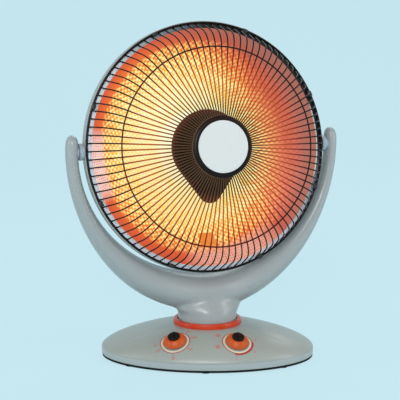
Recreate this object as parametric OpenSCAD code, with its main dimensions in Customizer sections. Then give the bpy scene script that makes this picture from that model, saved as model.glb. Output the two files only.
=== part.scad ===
// Parabolic heater on an oval base: a wire-guarded dish head that tilts in a
// crescent yoke, on a neck that swings over the base.
// Millimetres. Origin on the floor below the swing axis, front towards -Y, +Z up.

/* [Base] */
// Width of the oval base cover
base_w = 314; // [290:2:340]
// Front to back size of the base cover
base_d = 208; // [196:2:240]
// Height of the round deck that carries the neck
base_h = 50; // [46:1:60]
// Height of the upright band round the cover's edge
edge_h = 10; // [8:1:13]
// Wall of the base cover
cover_wall = 2.6; // [2:0.1:3.2]
// Depth of the soft valleys between the front panel and the wings
crease_depth = 1.2; // [0:0.1:2]
// Thickness of the bottom plate
plate_t = 3; // [2:0.5:4]
// How far the rubber feet stand below the plate
foot_h = 2; // [1.5:0.5:4]
// Diameter of the rubber feet
foot_d = 17; // [12:1:20]
// Diameter of the screws in the base
screw_d = 4; // [3:0.5:5]
// Bore of the gland for the mains lead
gland_bore = 6.6; // [5:0.2:7]

/* [Neck] */
// Outer diameter of the neck
neck_d = 87; // [80:1:92]
// Height of the neck from the deck to the underside of the crescent
neck_h = 17; // [14:1:30]
// Radius of the hollow between neck and crescent
neck_fillet = 9; // [6:1:12]
// Radial width of the orange collar
collar_w = 5.8; // [5:0.2:8]
// Height of the orange collar
collar_h = 7.5; // [6:0.5:9]
// Outer diameter of the swing spindle
spindle_d = 38; // [32:1:42]
// Bore of the swing spindle for the wires
spindle_bore = 26; // [18:1:28]

/* [Yoke] */
// Thickness of the crescent at the bottom
yoke_t = 57; // [46:1:62]
// Depth of the crescent at the bottom, front to back
yoke_d = 62; // [56:1:72]
// Thickness of an arm at its tip
arm_t = 18.5; // [16:0.5:22]
// Depth of an arm at its tip, front to back
arm_d = 25; // [24:1:30]
// Wall of the two yoke shells
yoke_wall = 2.4; // [2:0.1:2.8]
// Height of the arm tips above the tilt axis
tip_rise = 25; // [20:1:30]
// Extra fullness of the crescent's front above the neck
yoke_swell = 16; // [8:1:20]
// How far the arms lie behind the swing axis
lean = 8; // [0:1:12]
// How far the bottom of the crescent lies behind the swing axis
yoke_back = 14; // [0:1:18]
// Free gap between the head and the bottom of the crescent
head_gap = 2; // [1.5:0.5:6]

/* [Joints] */
// Swing of the head away from straight ahead, in degrees, as posed
swing_angle = 20.9; // [0:0.1:30]
// Upward tilt of the head, in degrees, as posed
tilt_angle = 6.7; // [0:0.1:12]
// Diameter of the tilt pins
pin_d = 12; // [10:1:14]
// Diameter of the pivot bosses
boss_d = 24; // [20:1:26]
// Length of the pivot bosses
boss_len = 6.8; // [5:0.2:10]
// Distance of the tilt axis behind the guard's rim
axis_back = 12; // [10:1:14]
// Radial clearance of running pins and shafts
run_gap = 0.05; // [0.02:0.01:0.1]
// Free gap between a pivot boss and its arm
boss_gap = 0.7; // [0.5:0.1:1.5]

/* [Guard] */
// Radius of the guard's rim wire, to its middle
guard_r = 180.2; // [170.2:1:188.2]
// Number of radial wires
wire_count = 96; // [72:8:96]
// Diameter of the radial wires
wire_d = 1.7; // [1.2:0.1:2]
// Diameter of the rim wire
rim_wire_d = 3.4; // [2.6:0.2:3.8]
// Diameter of the middle ring's wire
mid_wire_d = 2.2; // [1.8:0.2:2.6]
// Distance of the middle ring inside the end of the bend
mid_ring_in = 0.5; // [0.5:0.5:16]
// Height of the wires at the hub, in front of the rim
guard_h = 60; // [54:1:66]
// Slope of the wires between hub and shoulder, in degrees
wire_slope = 8; // [6:0.5:10]
// Inward lean of the wires above the rim, in degrees
wire_lean = 20; // [12:1:24]
// Bend radius of the wires at the shoulder
shoulder_r = 32; // [26:1:36]
// Radius of the black hub
hub_r = 43.8; // [40:0.2:48]
// Radius of the pale disc on the hub
badge_r = 37; // [32:0.5:37]

/* [Head] */
// Width of the reflector's flat flange
flange_w = 8.2; // [7.4:0.2:12]
// Depth of the reflector
dish_depth = 75; // [68:1:80]
// Sheet thickness of the reflector
dish_t = 0.8; // [0.6:0.1:1.2]
// Wall of the rear shell
shell_wall = 2; // [1.6:0.1:2.2]
// Length of the shell's straight rim
shell_band = 19; // [16:1:22]
// Depth of the rear shell behind the rim
shell_depth = 96; // [94:1:108]
// Diameter of the lamp post
post_d = 18; // [14:1:22]
// Outer diameter of the lamp tube
lamp_d = 10; // [8:0.5:12]
// Length of the lamp tube
lamp_len = 88; // [76:2:92]
// Radius of the heat shield
shield_r = 55; // [50:1:58]
// Reach of the heat shield's tail below its middle
shield_tail = 81; // [74:1:88]
// Width of the tail at its end
shield_tail_w = 33; // [28:1:36]
// Front face of the heat shield, in front of the rim
shield_z = 4; // [2:1:8]

/* [Controls] */
// Sideways distance of a knob from the middle
knob_x = 44.5; // [42:0.5:50]
// Place of a knob between the deck, 0, and the edge, 1
knob_place = 0.56; // [0.5:0.01:0.6]
// Diameter of a knob's skirt
knob_d = 34; // [32:1:38]
// Height of a knob's skirt
knob_h = 9; // [8:0.5:10]
// Diameter of a knob's black cap
cap_d = 18.5; // [16:0.5:20]
// Diameter of the control shafts
shaft_d = 6; // [5:0.5:6.5]

/* [Hidden] */
$fn = 72;
seat_gap = 0.05;                        // between faces that rest on each other
weld_bite = 0.3;                        // how far a wire sinks into a weld

// Heights
plate_top = foot_h + plate_t;
deck_z = base_h;
band_top = plate_top + edge_h;          // where the cover's upright band ends
deck_r = neck_d / 2 + collar_w + 0.9;   // round deck of the cover
deck_hole_r = spindle_d / 2 + 4.6;
half_w = base_w / 2;
half_d = base_d / 2;

// Cover surface. u runs from the deck, 0, to the edge, 1; az is the bearing
crown_power = 1.35;
crown_round = 0.62;
crease_az = [-28, -152];
crease_half = 7;
function crown(u) = pow(max(0, 1 - pow(u, crown_power)), crown_round);
function bearing_off(az, mark) = abs(((az - mark + 540) % 360) - 180);
function crease(u, az) = crease_depth * sin(180 * u)
    * (exp(-pow(bearing_off(az, crease_az[0]) / crease_half, 2))
     + exp(-pow(bearing_off(az, crease_az[1]) / crease_half, 2)));
function cover_point(u, az, wall = 0) = [
    (deck_r + (half_w - deck_r) * u - wall) * cos(az),
    (deck_r + (half_d - deck_r) * u - wall) * sin(az),
    band_top + (deck_z - wall - band_top) * crown(u) - crease(u, az)];
function unit(v) = v / norm(v);
function cover_normal(u, az) = unit(cross(
    cover_point(u + 0.01, az) - cover_point(u - 0.01, az),
    cover_point(u, az + 1) - cover_point(u, az - 1)));

// Knob places on the cover, left and right
knob_az = acos(knob_x / (deck_r + (half_w - deck_r) * knob_place));
function knob_bearing(side) = side > 0 ? -knob_az : knob_az - 180;
cover_skin = cover_wall * 1.5;          // wall as the slanted shafts cross it
bush_hole_r = 5.2;
bush_r = 5;
bush_out = 2;                           // bush above the cover
timer_w = 30;
timer_t = 15;
switch_w = 26;
switch_t = 13;
body_drop = 3.5;                        // gap between the cover and a control's body

// Base insides
boss_r = 5;
boss_place = 0.74;
boss_sink = 0.8;                        // keeps a boss below the sloping surface
boss_az = [-125, -55, 55, 125];
screw_head_h = 1.6;
screw_grip = 11;                        // length of a screw in its boss
ballast_w = 104;
ballast_h = 15;
ballast_inset = 16;                     // from the base's edge
ballast_gap = 6;                        // to the motor
foot_places = [[0, -92], [109, -61], [-109, -61], [96, 64], [-96, 64]];
motor_y = 28;
motor_r = 24;
motor_h = 11;
crank_r = 18;                           // reach of the crank pin
crank_disc_r = 22;
crank_ratio = 3.25;                     // crank turn for each turn of the neck
crank_pin_r = 2.5;
slot_play = 3.6;                        // room of the crank pin in the lever's slot
lever_t = 3;
lever_z = plate_top + motor_h + 7;
spindle_z = lever_z + lever_t + 2;      // lower end of the spindle
tip_place = [-58, 44];
terminal_place = [66, 40];

// Neck and yoke
rim_cover = 1.1;                        // shell outside the rim wire
shell_r = guard_r + rim_wire_d / 2 + rim_cover;
cradle_r = shell_r + head_gap;          // inner radius of the crescent, bottom
arm_in = shell_r + boss_len + boss_gap; // inner face of the arms, at the axis
arm_out = arm_in + arm_t;
tilt_z = deck_z + neck_h + yoke_t + cradle_r;
neck_r = neck_d / 2;
neck_in = neck_r - yoke_wall;
neck_z = deck_z + 2;                    // lower edge of the neck
bush_flange = 1.5;
flange_z = deck_z + bush_flange + 0.1;
flange_t = 3;
floor_z = flange_z + flange_t + seat_gap;
floor_t = 3;

// Head frame: X right, Y up, Z forward, origin in the middle of the rim
foot_gap = 0.6;                         // between a wire's end and the flange
foot_z = foot_gap - rim_wire_d;
foot_r = guard_r - (rim_wire_d + wire_d) / 2 + weld_bite
    + (rim_wire_d / 2 - foot_gap) * tan(wire_lean);
corner_len = (guard_h - foot_z - (foot_r - hub_r) * tan(wire_slope))
    / (cos(wire_lean) - sin(wire_lean) * tan(wire_slope));
leg_len = corner_len - shoulder_r * tan((90 - wire_slope - wire_lean) / 2);
bend_r = foot_r - leg_len * sin(wire_lean) - shoulder_r * cos(wire_lean);
bend_z = foot_z + leg_len * cos(wire_lean) - shoulder_r * sin(wire_lean);
bend_end_r = bend_r + shoulder_r * sin(wire_slope);
bend_end_z = bend_z + shoulder_r * cos(wire_slope);
mid_ring_r = bend_end_r - mid_ring_in;
flange_back = rim_wire_d + dish_t;      // back face of the dish's flange
lip_z = -rim_wire_d - seat_gap;         // front edge of the rear shell
ledge_t = 1.8;                          // shell's ledge behind the dish's flange
sensor_t = 1.4;                         // thickness of the amber plate
sensor_gap = 0.95;                      // from the dish to the amber plate, at its middle
dish_z = -flange_back;                  // plane of the aperture
flange_r = shell_r - shell_wall - 0.3;  // outer edge of the dish's flange
dish_r = flange_r - flange_w;           // aperture radius of the dish
function dish_at(r) = dish_z - dish_depth * (1 - pow(r / dish_r, 2));
bowl_r = shell_r - 7;
bowl_z = -shell_band - 3;
back_r = 56;
function bowl_at(r) = bowl_z - (shell_depth + bowl_z) * (1 - pow(r / bowl_r, 2))
    / (1 - pow(back_r / bowl_r, 2));
plate_back = shield_z - 32;             // lamp bracket's plate
bracket_t = 1.5;
bracket_r = 26;
bracket_w = 18;                         // strip behind the lamp
strut_reach = 40;                       // strip that carries the shield posts
strut_w = 14;
post_place = 34;
post_r = 3;
lamp_cap_w = 16;
lamp_cap_h = 18;
lamp_hold = 3.5;                        // how far a cap holds the lamp's end
lamp_z = plate_back + 12;
sensor_r = 137;
sensor_side = 24;

// ---------- helpers ----------

// Closed skin over rows of points, each row a closed loop
module skin(rows, flip = false, ring = false) {
    n = len(rows[0]);
    m = len(rows);
    sides = [for (i = [0 : m - (ring ? 1 : 2)], j = [0 : n - 1], half = [0, 1])
        let (a = i * n + j, b = i * n + (j + 1) % n,
             c = ((i + 1) % m) * n + (j + 1) % n, d = ((i + 1) % m) * n + j)
        half == 0 ? [a, d, c] : [a, c, b]];
    // An end is a strip between the loop's outer half and its inner half
    last = (m - 1) * n;
    ends = ring ? [] : [for (k = [0 : n / 2 - 2], half = [0, 1])
        each half == 0
            ? [[k, k + 1, n - 2 - k], [last + k, last + n - 2 - k, last + k + 1]]
            : [[k, n - 2 - k, n - 1 - k], [last + k, last + n - 1 - k, last + n - 2 - k]]];
    faces = concat(sides, ends);
    polyhedron(points = [for (row = rows) each row],
        faces = flip ? [for (f = faces) [for (k = [len(f) - 1 : -1 : 0]) f[k]]] : faces);
}

module tube(r_out, r_in, h) {
    difference() {
        cylinder(r = r_out, h = h);
        translate([0, 0, -1]) cylinder(r = r_in, h = h + 2);
    }
}

// Places its children on the cover with +Z along the cover's normal
module on_cover(u, az) {
    nrm = cover_normal(u, az);
    turn = atan2(nrm[1], nrm[0]);
    translate(cover_point(u, az)) rotate([0, 0, turn]) rotate([0, acos(nrm[2]), 0])
        rotate([0, 0, -turn]) children();
}

module at_knob(side) on_cover(knob_place, knob_bearing(side)) children();

// Poses of the parts above the neck
module swung() rotate([0, 0, swing_angle]) children();
module in_head() swung() translate([0, lean, tilt_z]) rotate([90 - tilt_angle, 0, 0])
    translate([0, 0, axis_back]) children();

// ---------- base ----------

edge_steps = 11;
az_step = 5;
cover_u = [for (k = [1 : edge_steps]) sin(90 * k / edge_steps)];
function oval(rx, ry, z) = [for (az = [0 : az_step : 360 - az_step]) [rx * cos(az), ry * sin(az), z]];
function cover_row(u, wall) = [for (az = [0 : az_step : 360 - az_step]) cover_point(u, az, wall)];
function cover_rows() = concat(
    [oval(deck_hole_r, deck_hole_r, deck_z), oval(deck_r, deck_r, deck_z)],
    [for (u = cover_u) cover_row(u, 0)],
    [oval(half_w, half_d, plate_top), oval(half_w - cover_wall, half_d - cover_wall, plate_top)],
    [for (k = [len(cover_u) - 1 : -1 : 0]) cover_row(cover_u[k], cover_wall)],
    [oval(deck_r - cover_wall, deck_r - cover_wall, deck_z - cover_wall),
     oval(deck_hole_r, deck_hole_r, deck_z - cover_wall)]);

module base_cover() color([0.60, 0.64, 0.62]) difference() {
    union() {
        skin(cover_rows(), flip = true, ring = true);
        for (az = boss_az) {
            p = cover_point(boss_place, az);
            translate([p[0], p[1], plate_top + seat_gap])
                cylinder(r = boss_r, h = p[2] - plate_top - cover_wall - boss_sink);
        }
    }
    for (side = [-1, 1]) at_knob(side)
        translate([0, 0, -cover_skin * 2]) cylinder(r = bush_hole_r, h = cover_skin * 4);
    for (az = boss_az) {
        p = cover_point(boss_place, az);
        translate([p[0], p[1], plate_top - 1]) cylinder(d = screw_d + 2 * run_gap, h = screw_grip + 2);
    }
    gland_axis() translate([0, 0, -20]) cylinder(r = gland_bore / 2 + 1.4, h = 40);
}

module base_plate() color([0.08, 0.08, 0.09]) difference() {
    translate([0, 0, foot_h]) scale([1, (half_d - 0.6) / (half_w - 0.6), 1])
        cylinder(r = half_w - 0.6, h = plate_t - seat_gap);
    for (az = boss_az) {
        p = cover_point(boss_place, az);
        translate([p[0], p[1], 0]) cylinder(d = screw_d + 0.4, h = plate_top + 1);
    }
    translate([tip_place[0], tip_place[1], 0]) cylinder(r = 3.5, h = plate_top + 1);
}

module base_feet() color([0.05, 0.05, 0.05])
    for (p = foot_places) translate([p[0], p[1], 0]) {
        cylinder(d = foot_d - 2, h = 0.8);
        translate([0, 0, 0.8]) cylinder(d = foot_d, h = foot_h - 0.8);
    }

module base_screws() color([0.7, 0.7, 0.72])
    for (az = boss_az) {
        p = cover_point(boss_place, az);
        translate([p[0], p[1], foot_h - screw_head_h]) {
            cylinder(d = screw_d * 1.8, h = screw_head_h - seat_gap);
            cylinder(d = screw_d, h = plate_t + screw_grip);
        }
    }

module ballast_weight() color([0.3, 0.3, 0.31])
    intersection() {
        translate([0, 0, plate_top]) scale([1, (half_d - ballast_inset) / (half_w - ballast_inset), 1])
            cylinder(r = half_w - ballast_inset, h = ballast_h);
        translate([-ballast_w / 2, motor_y + motor_r + ballast_gap, plate_top])
            cube([ballast_w, half_d, ballast_h * 2]);
    }

module swivel_collar() color([0.85, 0.26, 0.16]) {
    r_out = neck_r + collar_w + 0.8;
    round_r = collar_w * 0.62;
    translate([0, 0, deck_z + seat_gap]) rotate_extrude() polygon(concat(
        [[neck_r + 0.8, 0], [r_out, 0]],
        [for (a = [0 : 15 : 90]) [r_out - round_r + round_r * cos(a),
                                  collar_h - round_r + round_r * sin(a)]],
        [[neck_r + 0.8, collar_h]]));
}

module swivel_bush() color([0.9, 0.9, 0.86]) difference() {
    union() {
        translate([0, 0, deck_z + seat_gap]) cylinder(r = neck_in - 1, h = bush_flange);
        translate([0, 0, deck_z - 10]) cylinder(r = deck_hole_r - 0.3, h = 11);
    }
    translate([0, 0, deck_z - 11]) cylinder(r = spindle_d / 2 + run_gap, h = 20);
}

module swing_motor() color([0.75, 0.74, 0.68]) translate([0, motor_y, plate_top]) difference() {
    union() {
        cylinder(r = motor_r, h = motor_h);
        for (side = [-1, 1]) translate([side * motor_r - 6, -5, 0]) cube([12, 10, 1.5]);
    }
    translate([0, 0, motor_h - 6]) cylinder(r = shaft_d / 2 + run_gap, h = 7);
    for (side = [-1, 1]) translate([side * (motor_r + 3), 0, -1]) cylinder(r = 1.6, h = 4);
}

module crank_disc() color([0.85, 0.85, 0.8]) translate([0, motor_y, plate_top + motor_h])
    rotate([0, 0, swing_angle * crank_ratio]) {
        translate([0, 0, -5]) cylinder(d = shaft_d, h = 6);
        translate([0, 0, 1]) cylinder(r = crank_disc_r, h = 3);
        translate([0, crank_r, 4]) cylinder(r = crank_pin_r, h = lever_t + 4);
    }

module swing_lever() color([0.7, 0.7, 0.72]) swung() difference() {
    slot_r = crank_pin_r + slot_play;
    slot_near = motor_y - 4;
    slot_far = motor_y + crank_r + 1;
    translate([0, 0, lever_z]) union() {
        cylinder(r = spindle_d / 2 + 2, h = lever_t);
        cylinder(r = spindle_d / 2 - 2, h = lever_t + 2 - seat_gap);
        translate([-slot_r - 4, 0, 0]) cube([2 * slot_r + 8, slot_far, lever_t]);
        translate([0, slot_far, 0]) cylinder(r = slot_r + 4, h = lever_t);
    }
    translate([0, 0, lever_z - 1]) {
        cylinder(d = spindle_bore, h = lever_t + 4);
        translate([-slot_r, slot_near, 0]) cube([2 * slot_r, slot_far - slot_near, lever_t + 2]);
        translate([0, slot_near, 0]) cylinder(r = slot_r, h = lever_t + 2);
        translate([0, slot_far, 0]) cylinder(r = slot_r, h = lever_t + 2);
    }
}

// A control hangs from the cover by its threaded bush and ring nut
module control_body(side, across, thick) at_knob(side) difference() {
    union() {
        translate([-across / 2, -across / 2, -cover_skin - body_drop - thick])
            cube([across, across, thick]);
        translate([0, 0, -cover_skin - body_drop - 1])
            cylinder(r = bush_r, h = cover_skin + body_drop + 1 + bush_out);
    }
    translate([0, 0, -cover_skin - body_drop - thick + 2])
        cylinder(r = shaft_d / 2 + run_gap, h = 60);
}

module control_shaft(side, thick) at_knob(side)
    translate([0, 0, -cover_skin - thick]) cylinder(d = shaft_d, h = cover_skin + thick + knob_h);

module control_knob(side) at_knob(side) difference() {
    union() {
        translate([0, 0, 0.8]) cylinder(d = knob_d, h = 1);
        translate([0, 0, 1.8]) cylinder(d1 = knob_d, d2 = cap_d + 1.5, h = knob_h - 1.8);
    }
    translate([0, 0, -1]) cylinder(r = bush_r + 4, h = 5);
    translate([0, 0, -1]) cylinder(d = shaft_d + 0.02, h = knob_h + 2);
}

module control_cap(side) at_knob(side) translate([0, 0, knob_h + seat_gap]) {
    cylinder(d = cap_d, h = 2);
    translate([0, 0, 2]) cylinder(d1 = cap_d, d2 = cap_d - 2, h = 1);
    translate([-1.5, 0, 3]) cube([3, cap_d / 2 - 2, 0.8]);
}

module timer_unit() color([0.85, 0.85, 0.82]) control_body(-1, timer_w, timer_t);
module timer_shaft() color([0.75, 0.75, 0.78]) control_shaft(-1, timer_t);
module timer_knob() color([0.82, 0.38, 0.18]) control_knob(-1);
module timer_cap() color([0.05, 0.05, 0.05]) control_cap(-1);
module power_switch() color([0.2, 0.2, 0.22]) control_body(1, switch_w, switch_t);
module power_shaft() color([0.75, 0.75, 0.78]) control_shaft(1, switch_t);
module power_knob() color([0.82, 0.38, 0.18]) control_knob(1);
module power_cap() color([0.05, 0.05, 0.05]) control_cap(1);

module control_nuts() color([0.7, 0.7, 0.72])
    for (side = [-1, 1]) at_knob(side) translate([0, 0, 0.1]) difference() {
        cylinder(r = bush_r + 2.6, h = bush_out - 0.1, $fn = 6);
        translate([0, 0, -1]) cylinder(r = bush_r + 0.02, h = 5);
    }

module tip_switch() color([0.2, 0.2, 0.22])
    translate([tip_place[0], tip_place[1], plate_top]) difference() {
        translate([-10, -7, 0]) cube([20, 14, 18]);
        translate([0, 0, -1]) cylinder(r = 3 + run_gap, h = 15);
    }

module tip_plunger() color([0.9, 0.9, 0.88])
    translate([tip_place[0], tip_place[1], 0.2]) cylinder(r = 3, h = plate_top + 10);

module terminal_block() color([0.9, 0.9, 0.88])
    translate([terminal_place[0], terminal_place[1], plate_top]) difference() {
        translate([-14, -8, 0]) cube([28, 16, 11]);
        for (k = [-1 : 1]) translate([k * 8, 0, 2]) cylinder(r = 2.2, h = 12);
    }

module gland_axis() translate([0, half_d, plate_top + edge_h * 0.52]) rotate([-90, 0, 0]) children();

module cord_gland() color([0.06, 0.06, 0.06]) gland_axis() difference() {
    union() {
        translate([0, 0, 0.25]) cylinder(r = gland_bore / 2 + 1.6, h = 1.6);
        translate([0, 0, -8]) cylinder(r = gland_bore / 2 + 1.3, h = 9);
    }
    translate([0, 0, -9]) cylinder(d = gland_bore, h = 14);
}

// ---------- neck and yoke ----------

module neck_spindle() color([0.72, 0.72, 0.74]) swung() difference() {
    union() {
        translate([0, 0, spindle_z]) cylinder(d = spindle_d, h = flange_z + 1 - spindle_z);
        translate([0, 0, flange_z]) cylinder(r = neck_in - 1.5, h = flange_t);
    }
    translate([0, 0, spindle_z - 1]) cylinder(d = spindle_bore, h = 60);
    for (a = [45 : 90 : 315]) rotate([0, 0, a]) translate([neck_in - 8, 0, flange_z + 0.5])
        cylinder(r = 2, h = flange_t + 1);
}

module spindle_screws() color([0.7, 0.7, 0.72]) swung()
    for (a = [45 : 90 : 315]) rotate([0, 0, a]) translate([neck_in - 8, 0, 0]) {
        translate([0, 0, floor_z + floor_t + seat_gap]) cylinder(r = 3.6, h = 2.4);
        translate([0, 0, flange_z + 0.6]) cylinder(r = 1.96, h = floor_z + floor_t - flange_z);
    }

module spindle_nut() color([0.6, 0.6, 0.62]) swung()
    translate([0, 0, deck_z - 10.1 - 4]) difference() {
        cylinder(r = spindle_d / 2 + 7, h = 4);
        translate([0, 0, -1]) cylinder(r = spindle_d / 2 + 0.02, h = 6);
        for (a = [0, 180]) rotate([0, 0, a]) translate([spindle_d / 2 + 4, -2.5, -1])
            cube([5, 5, 6]);
    }

// Crescent: stations at an angle from straight down, sections in polar coordinates
tip_angle = asin(min(0.9, tip_rise / (arm_in + arm_t / 2)));
blunt = [14, 6.5, 2.6, 0.6, 0];         // stations near a tip, mm back from its end
function tip_round(back) = back >= 13 ? 1 : max(0.12, sqrt(1 - pow(1 - back / 13, 2)));
end_angle = 90 + tip_angle;
function arc_mm(mm) = mm / (arm_in + arm_t / 2) * 180 / PI;
right_side = concat([for (k = [0 : 11]) end_angle * 0.93 * k / 12],
    [for (b = blunt) end_angle - arc_mm(b)]);
stations = concat([for (k = [len(right_side) - 1 : -1 : 1]) -right_side[k]], right_side);
function swell(s) = max(0, cos(min(90, abs(s))));
function inner_r(s) = cradle_r + (arm_in - cradle_r) * pow(sin(min(90, abs(s))), 2);
function outer_r(s) = arm_out + (cradle_r + yoke_t - arm_out) * pow(swell(s), thinning);
function half_depth(s, side = 1) = arm_d / 2 + (yoke_d - arm_d) / 2 * pow(swell(s), 1.6)
    + (side < 0 ? yoke_swell * pow(swell(s), 24) : 0);
// The joint of the two shells lies at this distance behind the swing axis
function lean_at(s) = lean + (yoke_back - lean) * min(1, swell(s) / cos(flat_joint));
function bulge(c) = c > 0 ? c : -pow(-c, 0.8);     // a fuller side towards the head
section_steps = 10;
thinning = 2.7;                         // how fast the crescent thins towards the arms
flat_joint = 20;                        // the joint is flat to this angle from straight down

function section_arc(s, wall, side) =
    let (shrink = tip_round((end_angle - abs(s)) * PI / 180 * (arm_in + arm_t / 2)),
         mid = (inner_r(s) + outer_r(s)) / 2,
         t = max(0.5, (outer_r(s) - inner_r(s)) / 2 * shrink - wall),
         d = max(0.5, half_depth(s, side) * shrink - wall))
    [for (k = [0 : section_steps]) let (q = 180 * k / section_steps, r = mid + t * bulge(cos(q)))
        [r * sin(s), lean_at(s) + side * d * sin(q), tilt_z - r * cos(s)]];
function section_loop(s, side) = let (inside = section_arc(s, yoke_wall, side))
    concat(section_arc(s, 0, side), [for (k = [section_steps : -1 : 0]) inside[k]]);

// Neck: part rings that widen into the crescent along a hollow fillet
function under_s(x, s = 10, n = 5) = n == 0 ? s : under_s(x, asin(x / outer_r(s)), n - 1);
function under_z(x) = let (s = under_s(x)) tilt_z - outer_r(s) * cos(s);
fillet_x = neck_r + neck_fillet;
fillet_slope = atan((under_z(fillet_x + 1) - under_z(fillet_x - 1)) / 2);
fillet_z = under_z(fillet_x) - neck_fillet / cos(fillet_slope);
fillet_run = neck_fillet * cos(fillet_slope);
neck_top = tilt_z - cradle_r - yoke_t * 0.42;
rest_h = neck_top - fillet_z - fillet_run;
neck_levels = concat([neck_z, fillet_z],
    [for (k = [1 : 5]) fillet_z + fillet_run * sin(18 * k)],
    [for (k = [1 : 5]) fillet_z + fillet_run + rest_h * k / 5]);
function neck_w(z) = z <= fillet_z ? neck_r
    : z <= fillet_z + fillet_run ? fillet_x - sqrt(pow(neck_fillet, 2) - pow(z - fillet_z, 2))
    : neck_w(fillet_z + fillet_run) * sqrt(1 - 0.6 * pow((z - fillet_z - fillet_run) / rest_h, 2));
// Share of the way from the round neck to the section of the crescent
function merged(z) = 0.5 - 0.5 * cos(180 * max(0, (z - fillet_z) / (neck_top - fillet_z)));
function neck_mid(z) = (yoke_back - yoke_swell / 2) * merged(z);
function neck_depth(z) = neck_r + (yoke_d / 2 + yoke_swell / 2 - 2 - neck_r) * merged(z);
neck_steps = 18;
function neck_arc(z, wall, side) =
    let (mid = neck_mid(z), deep = neck_depth(z) - wall,
         from = side * asin((yoke_back - mid) / deep))
    [for (k = [0 : neck_steps]) let (a = from + (180 - 2 * from) * k / neck_steps)
        [side * (neck_w(z) - wall) * cos(a), mid + side * deep * sin(a), z]];
function neck_loop(z, side) = let (inside = neck_arc(z, yoke_wall, side))
    concat(neck_arc(z, 0, side), [for (k = [neck_steps : -1 : 0]) inside[k]]);

screw_stations = [-62, -22, 22, 62];
tube_r = 4.4;

module yoke_half(side) difference() {
    union() {
        skin([for (s = stations) section_loop(s, side)], flip = side < 0);
        skin([for (z = neck_levels) neck_loop(z, side)]);
        difference() {
            translate([0, 0, floor_z]) cylinder(r = neck_in + yoke_wall / 2, h = floor_t);
            translate([0, 0, floor_z - 1]) cylinder(d = spindle_bore, h = floor_t + 2);
            translate([-neck_r, yoke_back - (side > 0 ? 2 * neck_r : 0), floor_z - 1])
                cube([2 * neck_r, 2 * neck_r, floor_t + 2]);
        }
        for (s = screw_stations) yoke_screw_axis(s)
            rotate([side > 0 ? 0 : 180, 0, 0])
                cylinder(r = tube_r, h = half_depth(s, side) - yoke_wall * 0.75);
    }
    // Spot face and hole for the pivot
    for (s = [-90, 90]) translate([0, lean_at(s), tilt_z]) rotate([0, s, 0])
        translate([0, 0, arm_in - 3]) {
            cylinder(d = boss_d + 2, h = 3);
            cylinder(d = pin_d + 6 + 2 * run_gap, h = yoke_wall + 3 + 10);
        }
    for (a = [45 : 90 : 315]) rotate([0, 0, a]) translate([neck_in - 8, 0, floor_z - 1])
        cylinder(r = 2.2, h = floor_t + 2);
    for (s = screw_stations) yoke_screw_axis(s) {
        translate([0, 0, -12]) cylinder(r = 1.5 + run_gap, h = 100);
        if (side > 0) translate([0, 0, half_depth(s) - 6]) cylinder(r = 3.3, h = 20);
    }
}

// Axis of a yoke screw, +Z pointing to the back
module yoke_screw_axis(s) {
    mid = (inner_r(s) + outer_r(s)) / 2;
    translate([mid * sin(s), lean_at(s), tilt_z - mid * cos(s)]) rotate([-90, 0, 0]) children();
}

module yoke_front() color([0.62, 0.66, 0.67]) swung() yoke_half(-1);
module yoke_rear() color([0.62, 0.66, 0.67]) swung() yoke_half(1);

module yoke_screws() color([0.7, 0.7, 0.72]) swung()
    for (s = screw_stations) yoke_screw_axis(s) {
        translate([0, 0, half_depth(s) - 6 + seat_gap]) cylinder(r = 2.9, h = 2);
        translate([0, 0, -11]) cylinder(r = 1.5, h = half_depth(s) + 5.5);
    }

module pivot_bushes() color([0.9, 0.9, 0.86]) swung()
    for (s = [-90, 90]) translate([0, lean_at(s), tilt_z]) rotate([0, s, 0])
        translate([0, 0, arm_in + 0.2]) tube(pin_d / 2 + 3, pin_d / 2 + run_gap, yoke_wall + 9);

// ---------- head ----------

// Tilt axis to one side, +Z pointing outwards
module tilt_side(side) in_head() translate([0, 0, -axis_back]) rotate([0, 90 * side, 0]) children();

module pivot_pins() color([0.55, 0.6, 0.66])
    for (side = [-1, 1]) tilt_side(side) {
        translate([0, 0, shell_r + 0.05]) cylinder(d = boss_d, h = boss_len - 0.05);
        translate([0, 0, shell_r - 9]) cylinder(d = pin_d - 4, h = 10);
        translate([0, 0, shell_r + 1]) cylinder(d = pin_d, h = boss_len + 10);
    }

module pivot_nuts() color([0.7, 0.7, 0.72])
    for (side = [-1, 1]) tilt_side(side) translate([0, 0, shell_r - shell_wall - 4.3]) difference() {
        cylinder(r = 5.9, h = 4, $fn = 6);
        translate([0, 0, -1]) cylinder(r = pin_d / 2 - 2 + 0.02, h = 6);
    }

bowl_rings = 9;
function bowl_line(drop) = [for (k = [0 : bowl_rings])
    let (r = bowl_r + (back_r - bowl_r) * k / bowl_rings) [r - drop * 0.5, bowl_at(r) + drop]];
vent_count = 36;

module rear_shell() color([0.66, 0.69, 0.70]) in_head() difference() {
    rotate_extrude() polygon(concat(
        [[shell_r, lip_z], [shell_r, -shell_band]], bowl_line(0), [[post_d / 2 + 3, -shell_depth]],
        [[post_d / 2 + 3, -shell_depth + shell_wall]],
        [for (k = [bowl_rings : -1 : 0]) bowl_line(shell_wall)[k]],
        [[shell_r - shell_wall, -shell_band + 1], [shell_r - shell_wall, -flange_back - ledge_t],
         [shell_r - 6, -flange_back - ledge_t], [shell_r - 6, -flange_back - seat_gap],
         [shell_r - shell_wall, -flange_back - seat_gap], [shell_r - shell_wall, lip_z]]));
    for (side = [-1, 1]) translate([0, 0, -axis_back]) rotate([0, 90 * side, 0])
        translate([0, 0, shell_r - 12]) cylinder(d = pin_d - 4 + 0.2, h = 20);
    for (k = [0 : vent_count - 1]) rotate([0, 0, (k + 0.5) * 360 / vent_count])
        translate([back_r + 22, -1.8, -shell_depth - 2]) cube([48, 3.6, 70]);
    for (a = [45 : 90 : 315]) rotate([0, 0, a]) translate([back_r - 8, 0, -shell_depth - 1])
        cylinder(r = 1.7, h = 6);
}

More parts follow.
